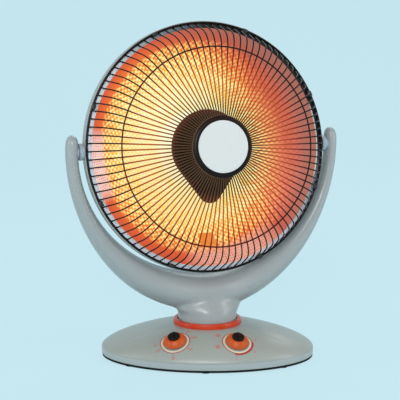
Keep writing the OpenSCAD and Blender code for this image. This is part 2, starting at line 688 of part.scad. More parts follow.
module rear_cap() color([0.66, 0.69, 0.70]) in_head() translate([0, 0, -shell_depth - seat_gap])
    difference() {
        rotate([180, 0, 0]) {
            cylinder(r = back_r - 1, h = 2);
            translate([0, 0, 2]) cylinder(r1 = back_r - 1, r2 = back_r - 5, h = 3);
        }
        translate([0, 0, -1.8]) cylinder(r = back_r - 14, h = 4);
        for (a = [45 : 90 : 315]) rotate([0, 0, a]) translate([back_r - 8, 0, -10]) {
            cylinder(r = 1.8, h = 14);
            cylinder(r = 3.4, h = 7);
        }
    }

module cap_screws() color([0.7, 0.7, 0.72]) in_head()
    for (a = [45 : 90 : 315]) rotate([0, 0, a])
        translate([back_r - 8, 0, -shell_depth - 3 - seat_gap]) {
            translate([0, 0, -1.9]) cylinder(r = 3, h = 1.8);
            translate([0, 0, -0.5]) cylinder(r = 1.6, h = 7);
        }

dish_rings = 20;
dish_line = [for (k = [0 : dish_rings]) let (r = dish_r + (post_d / 2 + 0.5 - dish_r) * k / dish_rings)
    [r, dish_at(r)]];

module reflector() color([0.93, 0.70, 0.40]) in_head() difference() {
    rotate_extrude() polygon(concat(
        [[flange_r, dish_z], [flange_r, dish_z + dish_t]],
        [for (p = dish_line) [p[0], p[1] + dish_t]],
        [for (k = [dish_rings : -1 : 0]) dish_line[k]]));
    sensor_axis() translate([0, 0, -10]) cylinder(r = 3.2, h = 20);
}

module lamp_post() color([0.75, 0.75, 0.77]) in_head() difference() {
    union() {
        translate([0, 0, -shell_depth + seat_gap])
            cylinder(d = post_d, h = shell_depth + plate_back - 2 * seat_gap);
        translate([0, 0, -shell_depth + shell_wall + seat_gap]) cylinder(r = post_d / 2 + 8, h = 2.5);
        translate([0, 0, dish_at(0) - 2.4]) cylinder(r = post_d / 2 + 5, h = 2);
    }
    translate([0, 0, -shell_depth - 1]) cylinder(d = post_d - 5, h = shell_depth + plate_back - 2);
}

module lamp_bracket() color([0.75, 0.75, 0.77]) in_head() translate([0, 0, plate_back]) union() {
    strip = lamp_len + 2 * lamp_hold;   // ends under the lamp caps
    cylinder(r = bracket_r, h = bracket_t);
    translate([-bracket_w / 2, -strip / 2, 0]) cube([bracket_w, strip, bracket_t]);
    translate([-strut_reach, -strut_w / 2, 0]) cube([2 * strut_reach, strut_w, bracket_t]);
}

module lamp_caps() color([0.93, 0.92, 0.88]) in_head()
    for (side = [-1, 1]) difference() {
        translate([-lamp_cap_w / 2, side * (lamp_len / 2 + lamp_cap_w / 2 - lamp_hold) - lamp_cap_w / 2,
            plate_back + bracket_t + seat_gap]) cube([lamp_cap_w, lamp_cap_w, lamp_cap_h]);
        translate([0, side * (lamp_len / 2), lamp_z]) rotate([90 * side, 0, 0])
            cylinder(d = lamp_d + 0.1, h = 30);
    }

module lamp_tube() color([1, 0.9, 0.6, 0.6]) in_head()
    translate([0, lamp_len / 2, lamp_z]) rotate([90, 0, 0]) tube(lamp_d / 2, lamp_d / 2 - 1, lamp_len);

module lamp_filament() color([1, 0.6, 0.2]) in_head()
    translate([0, lamp_len / 2, lamp_z]) rotate([90, 0, 0]) cylinder(d = lamp_d * 0.36, h = lamp_len);

shield_rim = 8;                         // height of the shield's turned edge
shield_skin = 1.2;

module shield_form(less, h) hull() {
    cylinder(r = shield_r - less, h = h, $fn = 64);
    translate([0, shield_tail_w / 2 - shield_tail, 0])
        cylinder(r = shield_tail_w / 2 - less, h = h, $fn = 32);
}

module heat_shield() color([0.13, 0.09, 0.08]) in_head()
    translate([0, 0, shield_z - shield_rim]) difference() {
        shield_form(0, shield_rim);
        translate([0, 0, -shield_skin]) shield_form(shield_skin, shield_rim);
    }

module shield_posts() color([0.75, 0.75, 0.77]) in_head()
    for (side = [-1, 1]) translate([side * post_place, 0, plate_back + bracket_t + seat_gap])
        cylinder(r = post_r, h = shield_z - shield_skin - plate_back - bracket_t - 2 * seat_gap);

// Amber plate low in the dish, +Z square to the sheet
module sensor_axis() {
    slope = atan(2 * dish_depth * sensor_r / pow(dish_r, 2));
    translate([3, -sensor_r, dish_at(sensor_r) + dish_t]) rotate([-slope, 0, 0]) children();
}

module sensor_plate() color([0.85, 0.5, 0.15]) in_head() sensor_axis() union() {
    translate([-sensor_side / 2, -sensor_side / 2, sensor_gap])
        cube([sensor_side, sensor_side, sensor_t]);
    translate([0, 0, -5]) cylinder(r = 3, h = 5 + sensor_gap + sensor_t / 2);
}

module guard_rim() color([0.05, 0.05, 0.05]) in_head()
    translate([0, 0, -rim_wire_d / 2]) rotate_extrude() translate([guard_r, 0]) circle(d = rim_wire_d);

module guard_wire() {
    translate([foot_r, 0, foot_z]) rotate([0, -wire_lean, 0]) cylinder(d = wire_d, h = leg_len);
    translate([bend_r, 0, bend_z]) rotate([90, 0, 0]) rotate([0, 0, wire_lean])
        rotate_extrude(angle = 90 - wire_slope - wire_lean)
            translate([shoulder_r, 0]) circle(d = wire_d);
    translate([bend_end_r, 0, bend_end_z]) rotate([0, wire_slope - 90, 0])
        cylinder(d = wire_d, h = (bend_end_r - hub_r + 2) / cos(wire_slope));
    translate([bend_end_r, 0, bend_end_z]) sphere(d = wire_d * 1.08);
}

module guard_wires() color([0.05, 0.05, 0.05]) in_head()
    for (k = [0 : wire_count - 1]) rotate([0, 0, k * 360 / wire_count]) guard_wire();

module guard_ring() color([0.05, 0.05, 0.05]) in_head()
    translate([0, 0, bend_end_z + (bend_end_r - mid_ring_r) * tan(wire_slope)
        - (wire_d + mid_wire_d) / 2 / cos(wire_slope) + weld_bite])
        rotate_extrude() translate([mid_ring_r, 0]) circle(d = mid_wire_d);

hub_top = guard_h + 4;
module guard_hub() color([0.06, 0.05, 0.05]) in_head() rotate_extrude() polygon([
    [0, guard_h - 4], [hub_r - 1, guard_h - 4], [hub_r, guard_h - 3], [hub_r, guard_h + 1],
    [hub_r - 1, hub_top - 1.2], [hub_r - 3, hub_top], [badge_r + 0.4, hub_top],
    [badge_r + 0.2, hub_top - 2], [0, hub_top - 2]]);

disc_rise = 1.6;
module hub_disc() color([0.86, 0.88, 0.90]) in_head() rotate_extrude() polygon(concat(
    [[0, hub_top - 2 + seat_gap], [badge_r, hub_top - 2 + seat_gap]],
    [for (k = [8 : -1 : 0]) let (r = badge_r * k / 8)
        [r, hub_top - 0.2 + disc_rise * (1 - pow(r / badge_r, 2))]]));

clip_w = 8;
module guard_clips() color([0.05, 0.05, 0.05]) in_head()
    for (k = [0 : 7]) rotate([0, 0, 22.5 + 45 * k + 180 / wire_count]) difference() {
        translate([guard_r - rim_wire_d / 2 - 2, -clip_w / 2, -rim_wire_d + seat_gap])
            cube([rim_wire_d + 2.3, clip_w, rim_wire_d + 1.8]);
        translate([0, 0, -rim_wire_d / 2]) rotate_extrude()
            translate([guard_r, 0]) circle(d = rim_wire_d + 0.1);
    }

base_cover();
base_plate();
base_feet();
base_screws();
ballast_weight();
swivel_collar();
swivel_bush();
swing_motor();
crank_disc();
swing_lever();
timer_unit();
timer_knob();
timer_cap();
timer_shaft();
power_switch();
power_knob();
power_cap();
power_shaft();
control_nuts();
tip_switch();
tip_plunger();
terminal_block();
cord_gland();
neck_spindle();
spindle_screws();
spindle_nut();
yoke_front();
yoke_rear();
yoke_screws();
pivot_bushes();
pivot_pins();
pivot_nuts();
rear_shell();
rear_cap();
cap_screws();
reflector();
lamp_post();
lamp_bracket();
lamp_caps();
lamp_tube();
lamp_filament();
heat_shield();
shield_posts();
sensor_plate();
guard_rim();
guard_wires();
guard_ring();
guard_hub();
hub_disc();
guard_clips();
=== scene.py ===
import math
from math import cos, pi, radians, sin, sqrt, tan

import bmesh
import bpy
from mathutils import Matrix, Vector
from mathutils.bvhtree import BVHTree


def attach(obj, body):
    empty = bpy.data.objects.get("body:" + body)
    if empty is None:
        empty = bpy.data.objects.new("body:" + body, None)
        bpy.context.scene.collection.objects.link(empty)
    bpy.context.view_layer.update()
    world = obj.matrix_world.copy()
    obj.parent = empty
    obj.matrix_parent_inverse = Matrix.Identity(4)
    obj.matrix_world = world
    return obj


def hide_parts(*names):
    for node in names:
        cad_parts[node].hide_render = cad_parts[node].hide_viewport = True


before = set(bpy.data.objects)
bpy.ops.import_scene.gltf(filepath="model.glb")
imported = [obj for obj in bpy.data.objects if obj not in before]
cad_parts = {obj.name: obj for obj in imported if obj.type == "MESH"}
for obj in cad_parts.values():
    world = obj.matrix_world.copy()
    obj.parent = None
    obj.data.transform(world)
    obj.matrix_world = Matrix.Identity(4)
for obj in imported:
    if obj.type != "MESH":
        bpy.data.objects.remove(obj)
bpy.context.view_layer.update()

# ---------------------------------------------------------------------------
# Bottom plate and ballast.
# A flat black polypropylene plate closes the base from below. A cast iron
# slab with a rough, scaled skin lies on it at the back, against tipping.


def paint(red, green, blue, lift=1.0):
    """A colour given as everyday 0 to 255 values, in linear light."""
    def linear(value):
        value = value / 255
        return value / 12.92 if value <= 0.04045 else ((value + 0.055) / 1.055) ** 2.4
    return (*(min(1.0, linear(v) * lift) for v in (red, green, blue)), 1.0)


class Field:
    """A value or colour that varies over a surface. Sums on values add Math nodes."""

    def __init__(self, finish, socket):
        self.finish, self.socket = finish, socket

    def other(self, name):
        """Another output of the same node."""
        return Field(self.finish, self.socket.node.outputs[name])

    def maths(self, operation, *others, swap=False):
        values = [self, *others][::-1] if swap else [self, *others]
        return self.finish.add("ShaderNodeMath", {"operation": operation}, dict(enumerate(values)))

    def __add__(self, other):
        return self.maths("ADD", other)

    def __sub__(self, other):
        return self.maths("SUBTRACT", other)

    def __rsub__(self, other):
        return self.maths("SUBTRACT", other, swap=True)

    def __mul__(self, other):
        return self.maths("MULTIPLY", other)

    def __truediv__(self, other):
        return self.maths("DIVIDE", other)

    __radd__, __rmul__ = __add__, __mul__


class Finish:
    """The finish of one kind of surface: a Principled shader and the nodes that feed it."""

    def __init__(self, name, sockets):
        self.material = bpy.data.materials.new(name)
        self.material.use_nodes = True
        self.tree = self.material.node_tree
        self.shader = self.tree.nodes["Principled BSDF"]
        for key, value in sockets.items():
            self.feed(key, value)

    def join(self, socket, value):
        if isinstance(value, Field):
            self.tree.links.new(value.socket, socket)
        else:
            socket.default_value = value

    def feed(self, key, value):
        self.join(self.shader.inputs[key], value)

    def add(self, kind, settings, sockets, out=0):
        """Adds one node: its settings first, then its sockets, and gives one of its outputs."""
        node = self.tree.nodes.new(kind)
        for key, value in settings.items():
            if key == "stops":
                ramp = node.color_ramp
                while len(ramp.elements) < len(value):
                    ramp.elements.new(0.5)
                for stop, (place, colour) in zip(ramp.elements, value):
                    stop.position, stop.color = place, colour
            else:
                setattr(node, key, value)
        for key, value in sockets.items():
            self.join(node.inputs[key], value)
        return Field(self, node.outputs[out])

    def where(self, frame_of=None):
        """The place on the surface, in metres, in the part's frame or that of a matrix."""
        place = self.add("ShaderNodeTexCoord", {}, {}, "Object")
        if frame_of is None:
            return place
        return self.add("ShaderNodeMapping", {"vector_type": "TEXTURE"}, {
            "Vector": place, "Location": frame_of.to_translation(), "Rotation": frame_of.to_euler()})

    def noise(self, scale, detail=2.0, vector=None):
        sockets = {"Vector": vector or self.where(), "Scale": scale, "Detail": detail}
        return self.add("ShaderNodeTexNoise", {}, sockets)

    def mix(self, factor, first, second):
        return self.add("ShaderNodeMix", {"data_type": "RGBA"}, {0: factor, 6: first, 7: second}, 2)

    def ramp(self, value, stops):
        return self.add("ShaderNodeValToRGB", {"stops": stops}, {0: value})

    def emboss(self, height, depth):
        """Surface relief too fine for the mesh, depth in metres."""
        self.feed("Normal", self.add("ShaderNodeBump", {}, {
            "Strength": 1.0, "Distance": depth, "Height": height}))


def shade(colour, by):
    return (*(min(1.0, c * by) for c in colour[:3]), 1.0)


def moulded(name, colour, gloss_loss, drift=0.05, grain=25e-6, grain_scale=1400, extra=None):
    """Moulded plastic: cloudy drift in the colour and the fine skin of a spark-eroded mould.

    A colour of None leaves the base colour to the caller."""
    finish = Finish(name, extra or {})
    cloud = finish.noise(16, 4)
    if colour:
        finish.feed("Base Color", finish.mix(cloud, shade(colour, 1 - drift), shade(colour, 1 + drift)))
    finish.feed("Roughness", gloss_loss + (cloud - 0.5) * 0.05)
    finish.emboss(finish.noise(grain_scale, 2), grain)
    return finish


def dress(finish, *names):
    """Gives CAD nodes whose shape is right their finish."""
    for name in names:
        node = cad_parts[name]
        if not node.material_slots:
            node.data.materials.append(None)
        for place in node.material_slots:
            place.material = finish.material


plate_black = moulded("black polypropylene", paint(9, 9, 10), 0.6, 0.1, extra={"Specular IOR Level": 0.2})
dress(plate_black, "base_plate")

cast_iron = Finish("cast iron", {"Metallic": 0.75, "Roughness": 0.62})
scale_spots = cast_iron.noise(120, 6)
cast_iron.feed("Base Color", cast_iron.ramp(scale_spots, [
    (0.35, paint(58, 56, 56)), (0.6, paint(92, 90, 88)), (0.72, paint(96, 74, 58))]))
cast_iron.emboss(cast_iron.noise(420, 5), 0.0003)
dress(cast_iron, "ballast_weight")

# ---------------------------------------------------------------------------
# Rubber feet.
# Five round feet of black rubber are moulded with two grip grooves each and
# glued under the plate.
MM = 0.001


def placed(name, data, at=Matrix()):
    """Puts a mesh, curve, lamp or camera into the scene."""
    obj = bpy.data.objects.new(name, data)
    bpy.context.scene.collection.objects.link(obj)
    obj.matrix_world = at
    return obj


def move(x, y, z):
    """A move in millimetres."""
    return Matrix.Translation((x * MM, y * MM, z * MM))


def piece(name, points, faces, at=Matrix()):
    """A mesh piece from points in millimetres, with its faces turned outwards."""
    mesh = bpy.data.meshes.new(name)
    mesh.from_pydata([[c * MM for c in p] for p in points], [], faces)
    work = bmesh.new()
    work.from_mesh(mesh)
    bmesh.ops.recalc_face_normals(work, faces=work.faces)
    work.to_mesh(mesh)
    work.free()
    return placed(name, mesh, at)


def eased(corners, steps=4):
    """An outline with each corner (x, y, radius) rounded off."""
    line = []
    for k, (x, y, radius) in enumerate(corners):
        here = Vector((x, y))
        back = Vector(corners[k - 1][:2]) - here
        ahead = Vector(corners[(k + 1) % len(corners)][:2]) - here
        if radius <= 0:
            line.append((x, y))
            continue
        run = min(radius / tan(back.angle(ahead) / 2), back.length * 0.48, ahead.length * 0.48)
        start, end = here + back.normalized() * run, here + ahead.normalized() * run
        for i in range(steps + 1):
            t = i / steps
            line.append(tuple(start * (1 - t) ** 2 + here * 2 * t * (1 - t) + end * t * t))
    return line


def turned(name, outline, steps=96, at=Matrix(), shape=None):
    """A turned piece: a closed outline of (radius, height) points, spun round the Z axis."""
    points, rings = [], []
    for radius, height in outline:
        if radius < 1e-6:
            rings.append([len(points)] * steps)
            points.append((0, 0, height))
            continue
        rings.append(list(range(len(points), len(points) + steps)))
        for k in range(steps):
            bearing = 2 * pi * k / steps
            r, z = shape(radius, height, bearing) if shape else (radius, height)
            points.append((r * cos(bearing), r * sin(bearing), z))
    faces = []
    for ring, after in zip(rings, rings[1:] + rings[:1]):
        for k in range(steps):
            j = (k + 1) % steps
            corners = list(dict.fromkeys((ring[k], ring[j], after[j], after[k])))
            if len(corners) > 2:
                faces.append(corners)
    return piece(name, points, faces, at)


def gather(name, parts, at=Matrix()):
    """Joins like pieces into one object, in the frame of a matrix."""
    work = bmesh.new()
    for part in parts:
        mesh = part.data.copy()
        mesh.transform(at.inverted() @ part.matrix_world)
        work.from_mesh(mesh)
        bpy.data.objects.remove(part)
    mesh = bpy.data.meshes.new(name)
    work.to_mesh(mesh)
    work.free()
    return placed(name, mesh, at)


def fit(obj, body, slot, finish, *nodes, flat=32):
    """Finishes a piece, puts it on its body and hides the CAD nodes it stands for."""
    obj.data.transform(obj.matrix_world)
    obj.matrix_world = Matrix()
    obj.data.materials.clear()
    obj.data.materials.append(finish.material)
    obj.data.shade_smooth()
    obj.data.set_sharp_from_angle(angle=radians(flat))
    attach(obj, body)
    if nodes:
        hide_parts(*nodes)
    return obj


rubber = moulded("black rubber", paint(10, 10, 11), 0.85, 0.1, 60e-6, 900, {"Specular IOR Level": 0.2})
foot_outline = eased([(0, 0, 0), (2, 0, 0), (2.4, 0.5, 0.2), (3.6, 0.5, 0.2), (4, 0, 0.1),
                      (5.2, 0, 0.1), (5.6, 0.5, 0.2), (6.6, 0.5, 0.2), (7, 0, 0.1), (7.5, 0, 0.2),
                      (8.5, 0.8, 0.3), (8.5, 2, 0.1), (0, 2, 0)])
FOOT_PLACES = ((0, -92), (109, -61), (-109, -61), (96, 64), (-96, 64))
feet = [turned("foot", foot_outline, 48, move(x, y, 0)) for x, y in FOOT_PLACES]
fit(gather("grooved_feet", feet), "base", "rubber", rubber, "base_feet")

# ---------------------------------------------------------------------------
# Base cover and its screws.
# The oval top of the base, moulded in one piece in light grey ABS with a fine
# satin skin: a round deck, a crowned slope with two soft valleys and an upright
# band. Four posts inside take the zinc-plated pan-head screws of the plate.
HALF_W, HALF_D = 157, 104
DECK_R, DECK_Z, DECK_HOLE = 50.2, 50, 23.6
PLATE_TOP, BAND_TOP, COVER_WALL = 5, 15, 2.6
LINE_DEPTH = 0.45                       # of the fine line where slope and band meet
VALLEYS, VALLEY_HALF, VALLEY_DEPTH = (-28, -152), 7, 1.5


def cover_point(u, bearing, wall=0.0):
    """A point of the cover, u from the deck (0) to the edge (1), bearing in degrees."""
    crown = max(0.0, 1 - u ** 1.35) ** 0.62
    off = [abs((bearing - mark + 540) % 360 - 180) / VALLEY_HALF for mark in VALLEYS]
    valley = VALLEY_DEPTH * sin(pi * u) * sum(math.exp(-1.5 * o) for o in off)
    a = radians(bearing)
    return Vector(((DECK_R + (HALF_W - DECK_R) * u - wall) * cos(a),
                   (DECK_R + (HALF_D - DECK_R) * u - wall) * sin(a),
                   BAND_TOP + (DECK_Z - wall - BAND_TOP) * crown - valley))


BEARINGS, SLOPE_STEPS = 240, 44


def skin(name, loops, at=Matrix(), joined=False):
    """A mesh over like loops of points, joined into a ring or capped at both ends."""
    n, count = len(loops[0]), len(loops)
    faces = [(i * n + k, i * n + (k + 1) % n, (i + 1) % count * n + (k + 1) % n, (i + 1) % count * n + k)
             for i in range(count if joined else count - 1) for k in range(n)]
    if not joined:
        faces += [list(range(n)), list(range((count - 1) * n, count * n))]
    return piece(name, [p for loop in loops for p in loop], faces, at)


def oval(half_w, half_d, z, steps=BEARINGS, middle=0.0):
    """A level loop of points."""
    turns = (2 * pi * k / steps for k in range(steps))
    return [(half_w * cos(a), middle + half_d * sin(a), z) for a in turns]


def cover_row(u, wall):
    return [cover_point(u, 360 * k / BEARINGS, wall) for k in range(BEARINGS)]


slope = [sin(pi / 2 * k / SLOPE_STEPS) for k in range(1, SLOPE_STEPS + 1)]
cover_rows = [oval(r, r, DECK_Z) for r in (DECK_HOLE, DECK_HOLE + 0.6, DECK_R - 2, DECK_R)]
cover_rows += [cover_row(u, 0) for u in slope]
cover_rows += [oval(HALF_W - inset, HALF_D - inset, z) for inset, z in (
    (LINE_DEPTH, BAND_TOP - 0.35), (LINE_DEPTH, BAND_TOP - 0.75), (0, BAND_TOP - 1.1), (0, BAND_TOP - 4),
    (0, PLATE_TOP + 1.2), (0.35, PLATE_TOP + 0.35), (1.2, PLATE_TOP), (COVER_WALL, PLATE_TOP))]
cover_rows += [cover_row(u, COVER_WALL) for u in reversed(slope)]
cover_rows += [oval(r, r, DECK_Z - COVER_WALL) for r in (DECK_R - COVER_WALL, DECK_HOLE)]
cover = skin("cover_moulding", cover_rows, joined=True)
cover_skin = BVHTree.FromObject(cover, bpy.context.evaluated_depsgraph_get())


def spin(degrees, axis):
    return Matrix.Rotation(radians(degrees), 4, axis)


def settle(obj):
    """Bakes an object's modifiers into its mesh."""
    bpy.context.view_layer.update()
    mesh = bpy.data.meshes.new_from_object(obj.evaluated_get(bpy.context.evaluated_depsgraph_get()))
    obj.modifiers.clear()
    obj.data = mesh
    return obj


def carve(obj, tool, how="DIFFERENCE"):
    """Cuts one closed mesh with another, or welds them, and removes the tool."""
    cut = obj.modifiers.new("cut", "BOOLEAN")
    cut.operation, cut.solver, cut.object = how, "MANIFOLD", tool
    settle(obj)
    bpy.data.objects.remove(tool)
    return obj


def pillar(name, radius, low, high, at=Matrix(), steps=48):
    return turned(name, [(0, low), (radius, low), (radius, high), (0, high)], steps, at)


def on_cover(u, bearing):
    """The frame of a fitting on the cover, Z square to the surface."""
    along = cover_point(u + 0.01, bearing) - cover_point(u - 0.01, bearing)
    across = cover_point(u, bearing + 1) - cover_point(u, bearing - 1)
    up = along.cross(across).normalized()
    turn = Vector((0, 0, 1)).rotation_difference(up).to_matrix().to_4x4()
    return move(*cover_point(u, bearing)) @ turn


KNOB_X, KNOB_PLACE, KNOB_HOLE, GLAND_HOLE = 44.5, 0.56, 5.2, 4.7
knob_bearing = math.degrees(math.acos(KNOB_X / (DECK_R + (HALF_W - DECK_R) * KNOB_PLACE)))
TIMER = on_cover(KNOB_PLACE, knob_bearing - 180)
POWER = on_cover(KNOB_PLACE, -knob_bearing)
GLAND = move(0, HALF_D, PLATE_TOP + 5.2) @ spin(-90, "X")
for at, radius in ((TIMER, KNOB_HOLE), (POWER, KNOB_HOLE), (GLAND, GLAND_HOLE)):
    carve(cover, pillar("hole", radius, -8, 8, at))


def soften(obj, width, steps=3, angle=35):
    """Rounds the sharp edges by a width in millimetres."""
    edge = obj.modifiers.new("eased edges", "BEVEL")
    edge.width, edge.segments = width * MM, steps
    edge.limit_method, edge.angle_limit = "ANGLE", radians(angle)
    return settle(obj)


def block(name, low, high, ease=0.0, at=Matrix()):
    """A square piece with eased edges."""
    corners = ((low[0], low[1]), (high[0], low[1]), (high[0], high[1]), (low[0], high[1]))
    obj = skin(name, [[(x, y, z) for x, y in corners] for z in (low[2], high[2])], at)
    if ease:
        soften(obj, ease)
    return obj


def screw(name, at, head_r, head_h, shank_r, shank_l):
    """A pan-head screw, its head upwards, seated at height 0 with its shank below."""
    head = eased([(0, -shank_l, 0), (shank_r * 0.6, -shank_l, 0), (shank_r, -shank_l + shank_r, 0.3),
                  (shank_r, 0, 0), (head_r, 0, 0.2), (head_r, head_h, head_h * 0.7), (0, head_h, 0)])
    obj = turned(name, head, 40, at)
    reach, width = head_r * 0.55, head_r * 0.2
    for low, high in (((-reach, -width), (reach, width)), ((-width, -reach), (width, reach))):
        carve(obj, block("recess", (*low, head_h * 0.35), (*high, head_h + 1), at=at))
    return obj


POST_PLACE, POST_R, POST_BORE = 0.74, 5, 2.05
SUNK = 3.6                              # keeps the posts' tops inside the cover's wall
BASE_SCREW = (3.6, 1.55, 2, 12.5)       # head radius and height, shank radius and length
base_screws = []
for bearing in (-125, -55, 55, 125):
    spot = cover_point(POST_PLACE, bearing)
    foot = move(spot.x, spot.y, 0)
    post = pillar("post", POST_R, PLATE_TOP + 0.05, spot.z - SUNK, foot)
    carve(post, pillar("bore", POST_BORE, 0, PLATE_TOP + 12, foot))
    carve(cover, post, "UNION")
    base_screws.append(screw("screw", foot @ move(0, 0, 1.95) @ spin(180, "X"), *BASE_SCREW))
zinc = Finish("zinc plated steel", {"Metallic": 1.0})
zinc_cloud = zinc.noise(300, 4)
zinc.feed("Base Color", zinc.mix(zinc_cloud, paint(168, 170, 172), paint(205, 206, 204)))
zinc.feed("Roughness", 0.24 + zinc_cloud * 0.2)
zinc.emboss(zinc.noise(1500, 2), 15e-6)
fit(gather("base_plate_screws", base_screws), "base", "steel", zinc, "base_screws")


def band(value, low, high):
    """0 below low, 1 above high, straight between."""
    return value.finish.add("ShaderNodeMapRange", {"clamp": True}, {0: value, 1: low, 2: high})


satin_grey = moulded("light grey ABS, base", None, 0.34, grain=18e-6, grain_scale=1800)
warm = satin_grey.mix(satin_grey.noise(9, 3), paint(142, 151, 145), paint(154, 158, 149))
tone = satin_grey.mix(satin_grey.noise(26, 4), warm, paint(152, 160, 158))
height = satin_grey.add("ShaderNodeSeparateXYZ", {}, {0: satin_grey.where()}).other("Z") * (1 / MM)
# Painted light: the upright band is painted lighter than the slope above it.
on_band = 1 - band(height, BAND_TOP - 0.4, BAND_TOP + 0.4)
satin_grey.feed("Base Color", satin_grey.mix(on_band, tone, paint(160, 168, 168)))
fit(cover, "base", "base_shell", satin_grey, "base_cover", flat=40)

# ---------------------------------------------------------------------------
# Printing round the dials.
# A cream ring and a thin red-brown ring are pad-printed round each dial, with
# tick marks and numbers; the power dial also has a broad arc and four bars.
PRINT_RISE, PRINT_ROOT = 0.09, -0.05    # above and below the surface


def laid(points, at):
    """Lays flat points of a dial's frame on the cover."""
    out, spot = [], at.inverted()
    for x, y, z in points:
        start = at @ Vector((x * MM, y * MM, 0.02))
        hit, normal, _, _ = cover_skin.ray_cast(start, -(at.to_3x3() @ Vector((0, 0, 1))))
        out.append(tuple((spot @ (hit + normal * z * MM)) / MM))
    return out


def printed_arc(name, at, inner, outer, start=0.0, sweep=360.0):
    """A flat printed band between two radii, from a bearing through a sweep in degrees."""
    steps, whole, loops = max(2, round(sweep / 3)), sweep >= 360, []
    for k in range(steps if whole else steps + 1):
        a = radians(start + sweep * k / steps)
        section = ((inner, PRINT_ROOT), (inner, PRINT_RISE), (outer, PRINT_RISE), (outer, PRINT_ROOT))
        loops.append(laid([(r * cos(a), r * sin(a), z) for r, z in section], at))
    return skin(name, loops, at, whole)


def printed_tick(at, bearing, near, far, width):
    a = radians(bearing)
    out, side = Vector((cos(a), sin(a))), Vector((-sin(a), cos(a))) * width / 2
    corners = [out * near - side, out * far - side, out * far + side, out * near + side]
    return skin("tick", [laid([(c.x, c.y, z) for c in corners], at) for z in (PRINT_ROOT, PRINT_RISE)], at)


def printed_number(at, figures, bearing, radius, height):
    """Upright figures beside a tick mark."""
    curve = bpy.data.curves.new("figures", "FONT")
    curve.body, curve.size = figures, height * 1.4
    curve.align_x, curve.align_y = "CENTER", "CENTER"
    curve.extrude = 0.04
    curve.resolution_u = 3
    obj = placed("figures", curve)
    bpy.context.view_layer.update()
    mesh = bpy.data.meshes.new_from_object(obj)
    bpy.data.objects.remove(obj)
    a = radians(bearing)
    points = [(v.co.x + radius * cos(a), v.co.y + radius * sin(a), PRINT_RISE if v.co.z > 0 else PRINT_ROOT)
              for v in mesh.vertices]
    return piece("number", laid(points, at), [list(f.vertices) for f in mesh.polygons], at)


cream = moulded("cream ink", paint(214, 200, 176), 0.5, 0.03, 8e-6)
brick = moulded("red-brown ink", paint(156, 44, 34), 0.5, 0.06, 8e-6)
red_ink = moulded("red ink", paint(196, 76, 56), 0.5, 0.05, 8e-6)
TIMER_MARKS = ((184, "0"), (208, "15"), (264, "30"), (321, "45"), (11, "60"), (48, "90"))
POWER_MARKS = ((272, "1"), (334, "2"), (25, "3"))
for name, at, marks in (("timer", TIMER, TIMER_MARKS), ("power", POWER, POWER_MARKS)):
    fit(printed_arc(name + "_cream_ring", at, 17.9, 20.4), "base", "disc_white", cream)
    ring = [printed_arc("ring", at, 20.7, 21.7)]
    if name == "power":
        ring.append(printed_arc("arc", at, 21.7, 23.4, -95, 110))
    fit(gather(name + "_red_ring", ring), "base", "orange_plastic", brick)
    ticks = [printed_tick(at, a, 23.8, 26.0, 1.1) for a, _ in marks]
    ticks += [printed_number(at, text, a, 29.0, 4.0) for a, text in marks]
    if name == "power":
        ticks += [printed_tick(at, a, 27, 33.5, 1.5) for a in (156, 162, 203, 209)]
    fit(gather(name + "_marks", ticks), "base", "orange_plastic", red_ink)

# ---------------------------------------------------------------------------
# Swivel collar and bush.
# A glossy orange-red ABS ring covers the joint of neck and deck. Under it a
# white acetal bush lines the hole of the deck and carries the neck's flange.
NECK_R, COLLAR_W, COLLAR_H = 43.5, 5.8, 7.5
collar = turned("collar_ring", [(r, z + DECK_Z) for r, z in eased([
    (NECK_R + 0.8, 0.05, 0.3), (NECK_R + COLLAR_W + 0.8, 0.05, 0.4),
    (NECK_R + COLLAR_W + 0.8, COLLAR_H, COLLAR_W * 0.66), (NECK_R + 0.8, COLLAR_H, 1.2)], 8)], 144)
collar_red = moulded("orange-red ABS", paint(196, 58, 26), 0.26, 0.05, 12e-6, 1800,
                     {"Specular IOR Level": 0.35})
fit(collar, "base", "orange_plastic", collar_red, "swivel_collar")
acetal = moulded("white acetal", paint(226, 226, 218), 0.42, 0.03)
dress(acetal, "swivel_bush", "terminal_block", "tip_plunger", "crank_disc")

# ---------------------------------------------------------------------------
# Swing drive, controls and switches inside the base.
# A small geared motor turns a crank disc whose pin moves a slotted steel
# lever. Timer, power switch and tip-over switch are bought-in black and ivory
# units. The gland for the mains lead is soft black plastic.
fawn = moulded("motor housing", paint(186, 182, 166), 0.4, 0.06)
dress(fawn, "swing_motor")
ivory = moulded("ivory phenolic", paint(206, 204, 192), 0.45, 0.05)
dress(ivory, "timer_unit")
switch_black = moulded("black phenolic", paint(40, 40, 43), 0.42, 0.08)
dress(switch_black, "power_switch", "tip_switch")
dress(zinc, "swing_lever", "timer_shaft", "power_shaft", "control_nuts", "spindle_screws",
      "pivot_nuts", "shield_posts")
gland_black = moulded("gland plastic", paint(24, 24, 25), 0.6, 0.08)
gland_line = eased([(3.3, -8, 0.3), (4.6, -8, 0.4), (4.6, 0.25, 0), (4.9, 0.25, 0.1), (4.9, 1.0, 0.2),
                    (4.5, 1.1, 0.1), (4.6, 1.85, 0.3), (3.6, 1.85, 0.3), (3.3, 1.4, 0.2)])
fit(turned("ribbed_gland", gland_line, 64, GLAND), "base", "black_plastic", gland_black, "cord_gland")

# ---------------------------------------------------------------------------
# Dials.
# Each dial is an orange skirt with shallow flutes, moulded in ABS, and a black
# glossy cap with a raised pointer that is pushed into its top.
SKIRT_R, SKIRT_H, CAP_R, CAP_H, FLUTES, FLUTE_DEPTH = 17.0, 9.0, 8.8, 2.5, 30, 0.35


def fluted(radius, height, bearing):
    depth = FLUTE_DEPTH * max(0.0, min(1.0, (SKIRT_H - 1.0 - height) / 4)) * (1 if radius > 10 else 0)
    return radius - depth * (0.5 - 0.5 * cos(FLUTES * bearing)), height


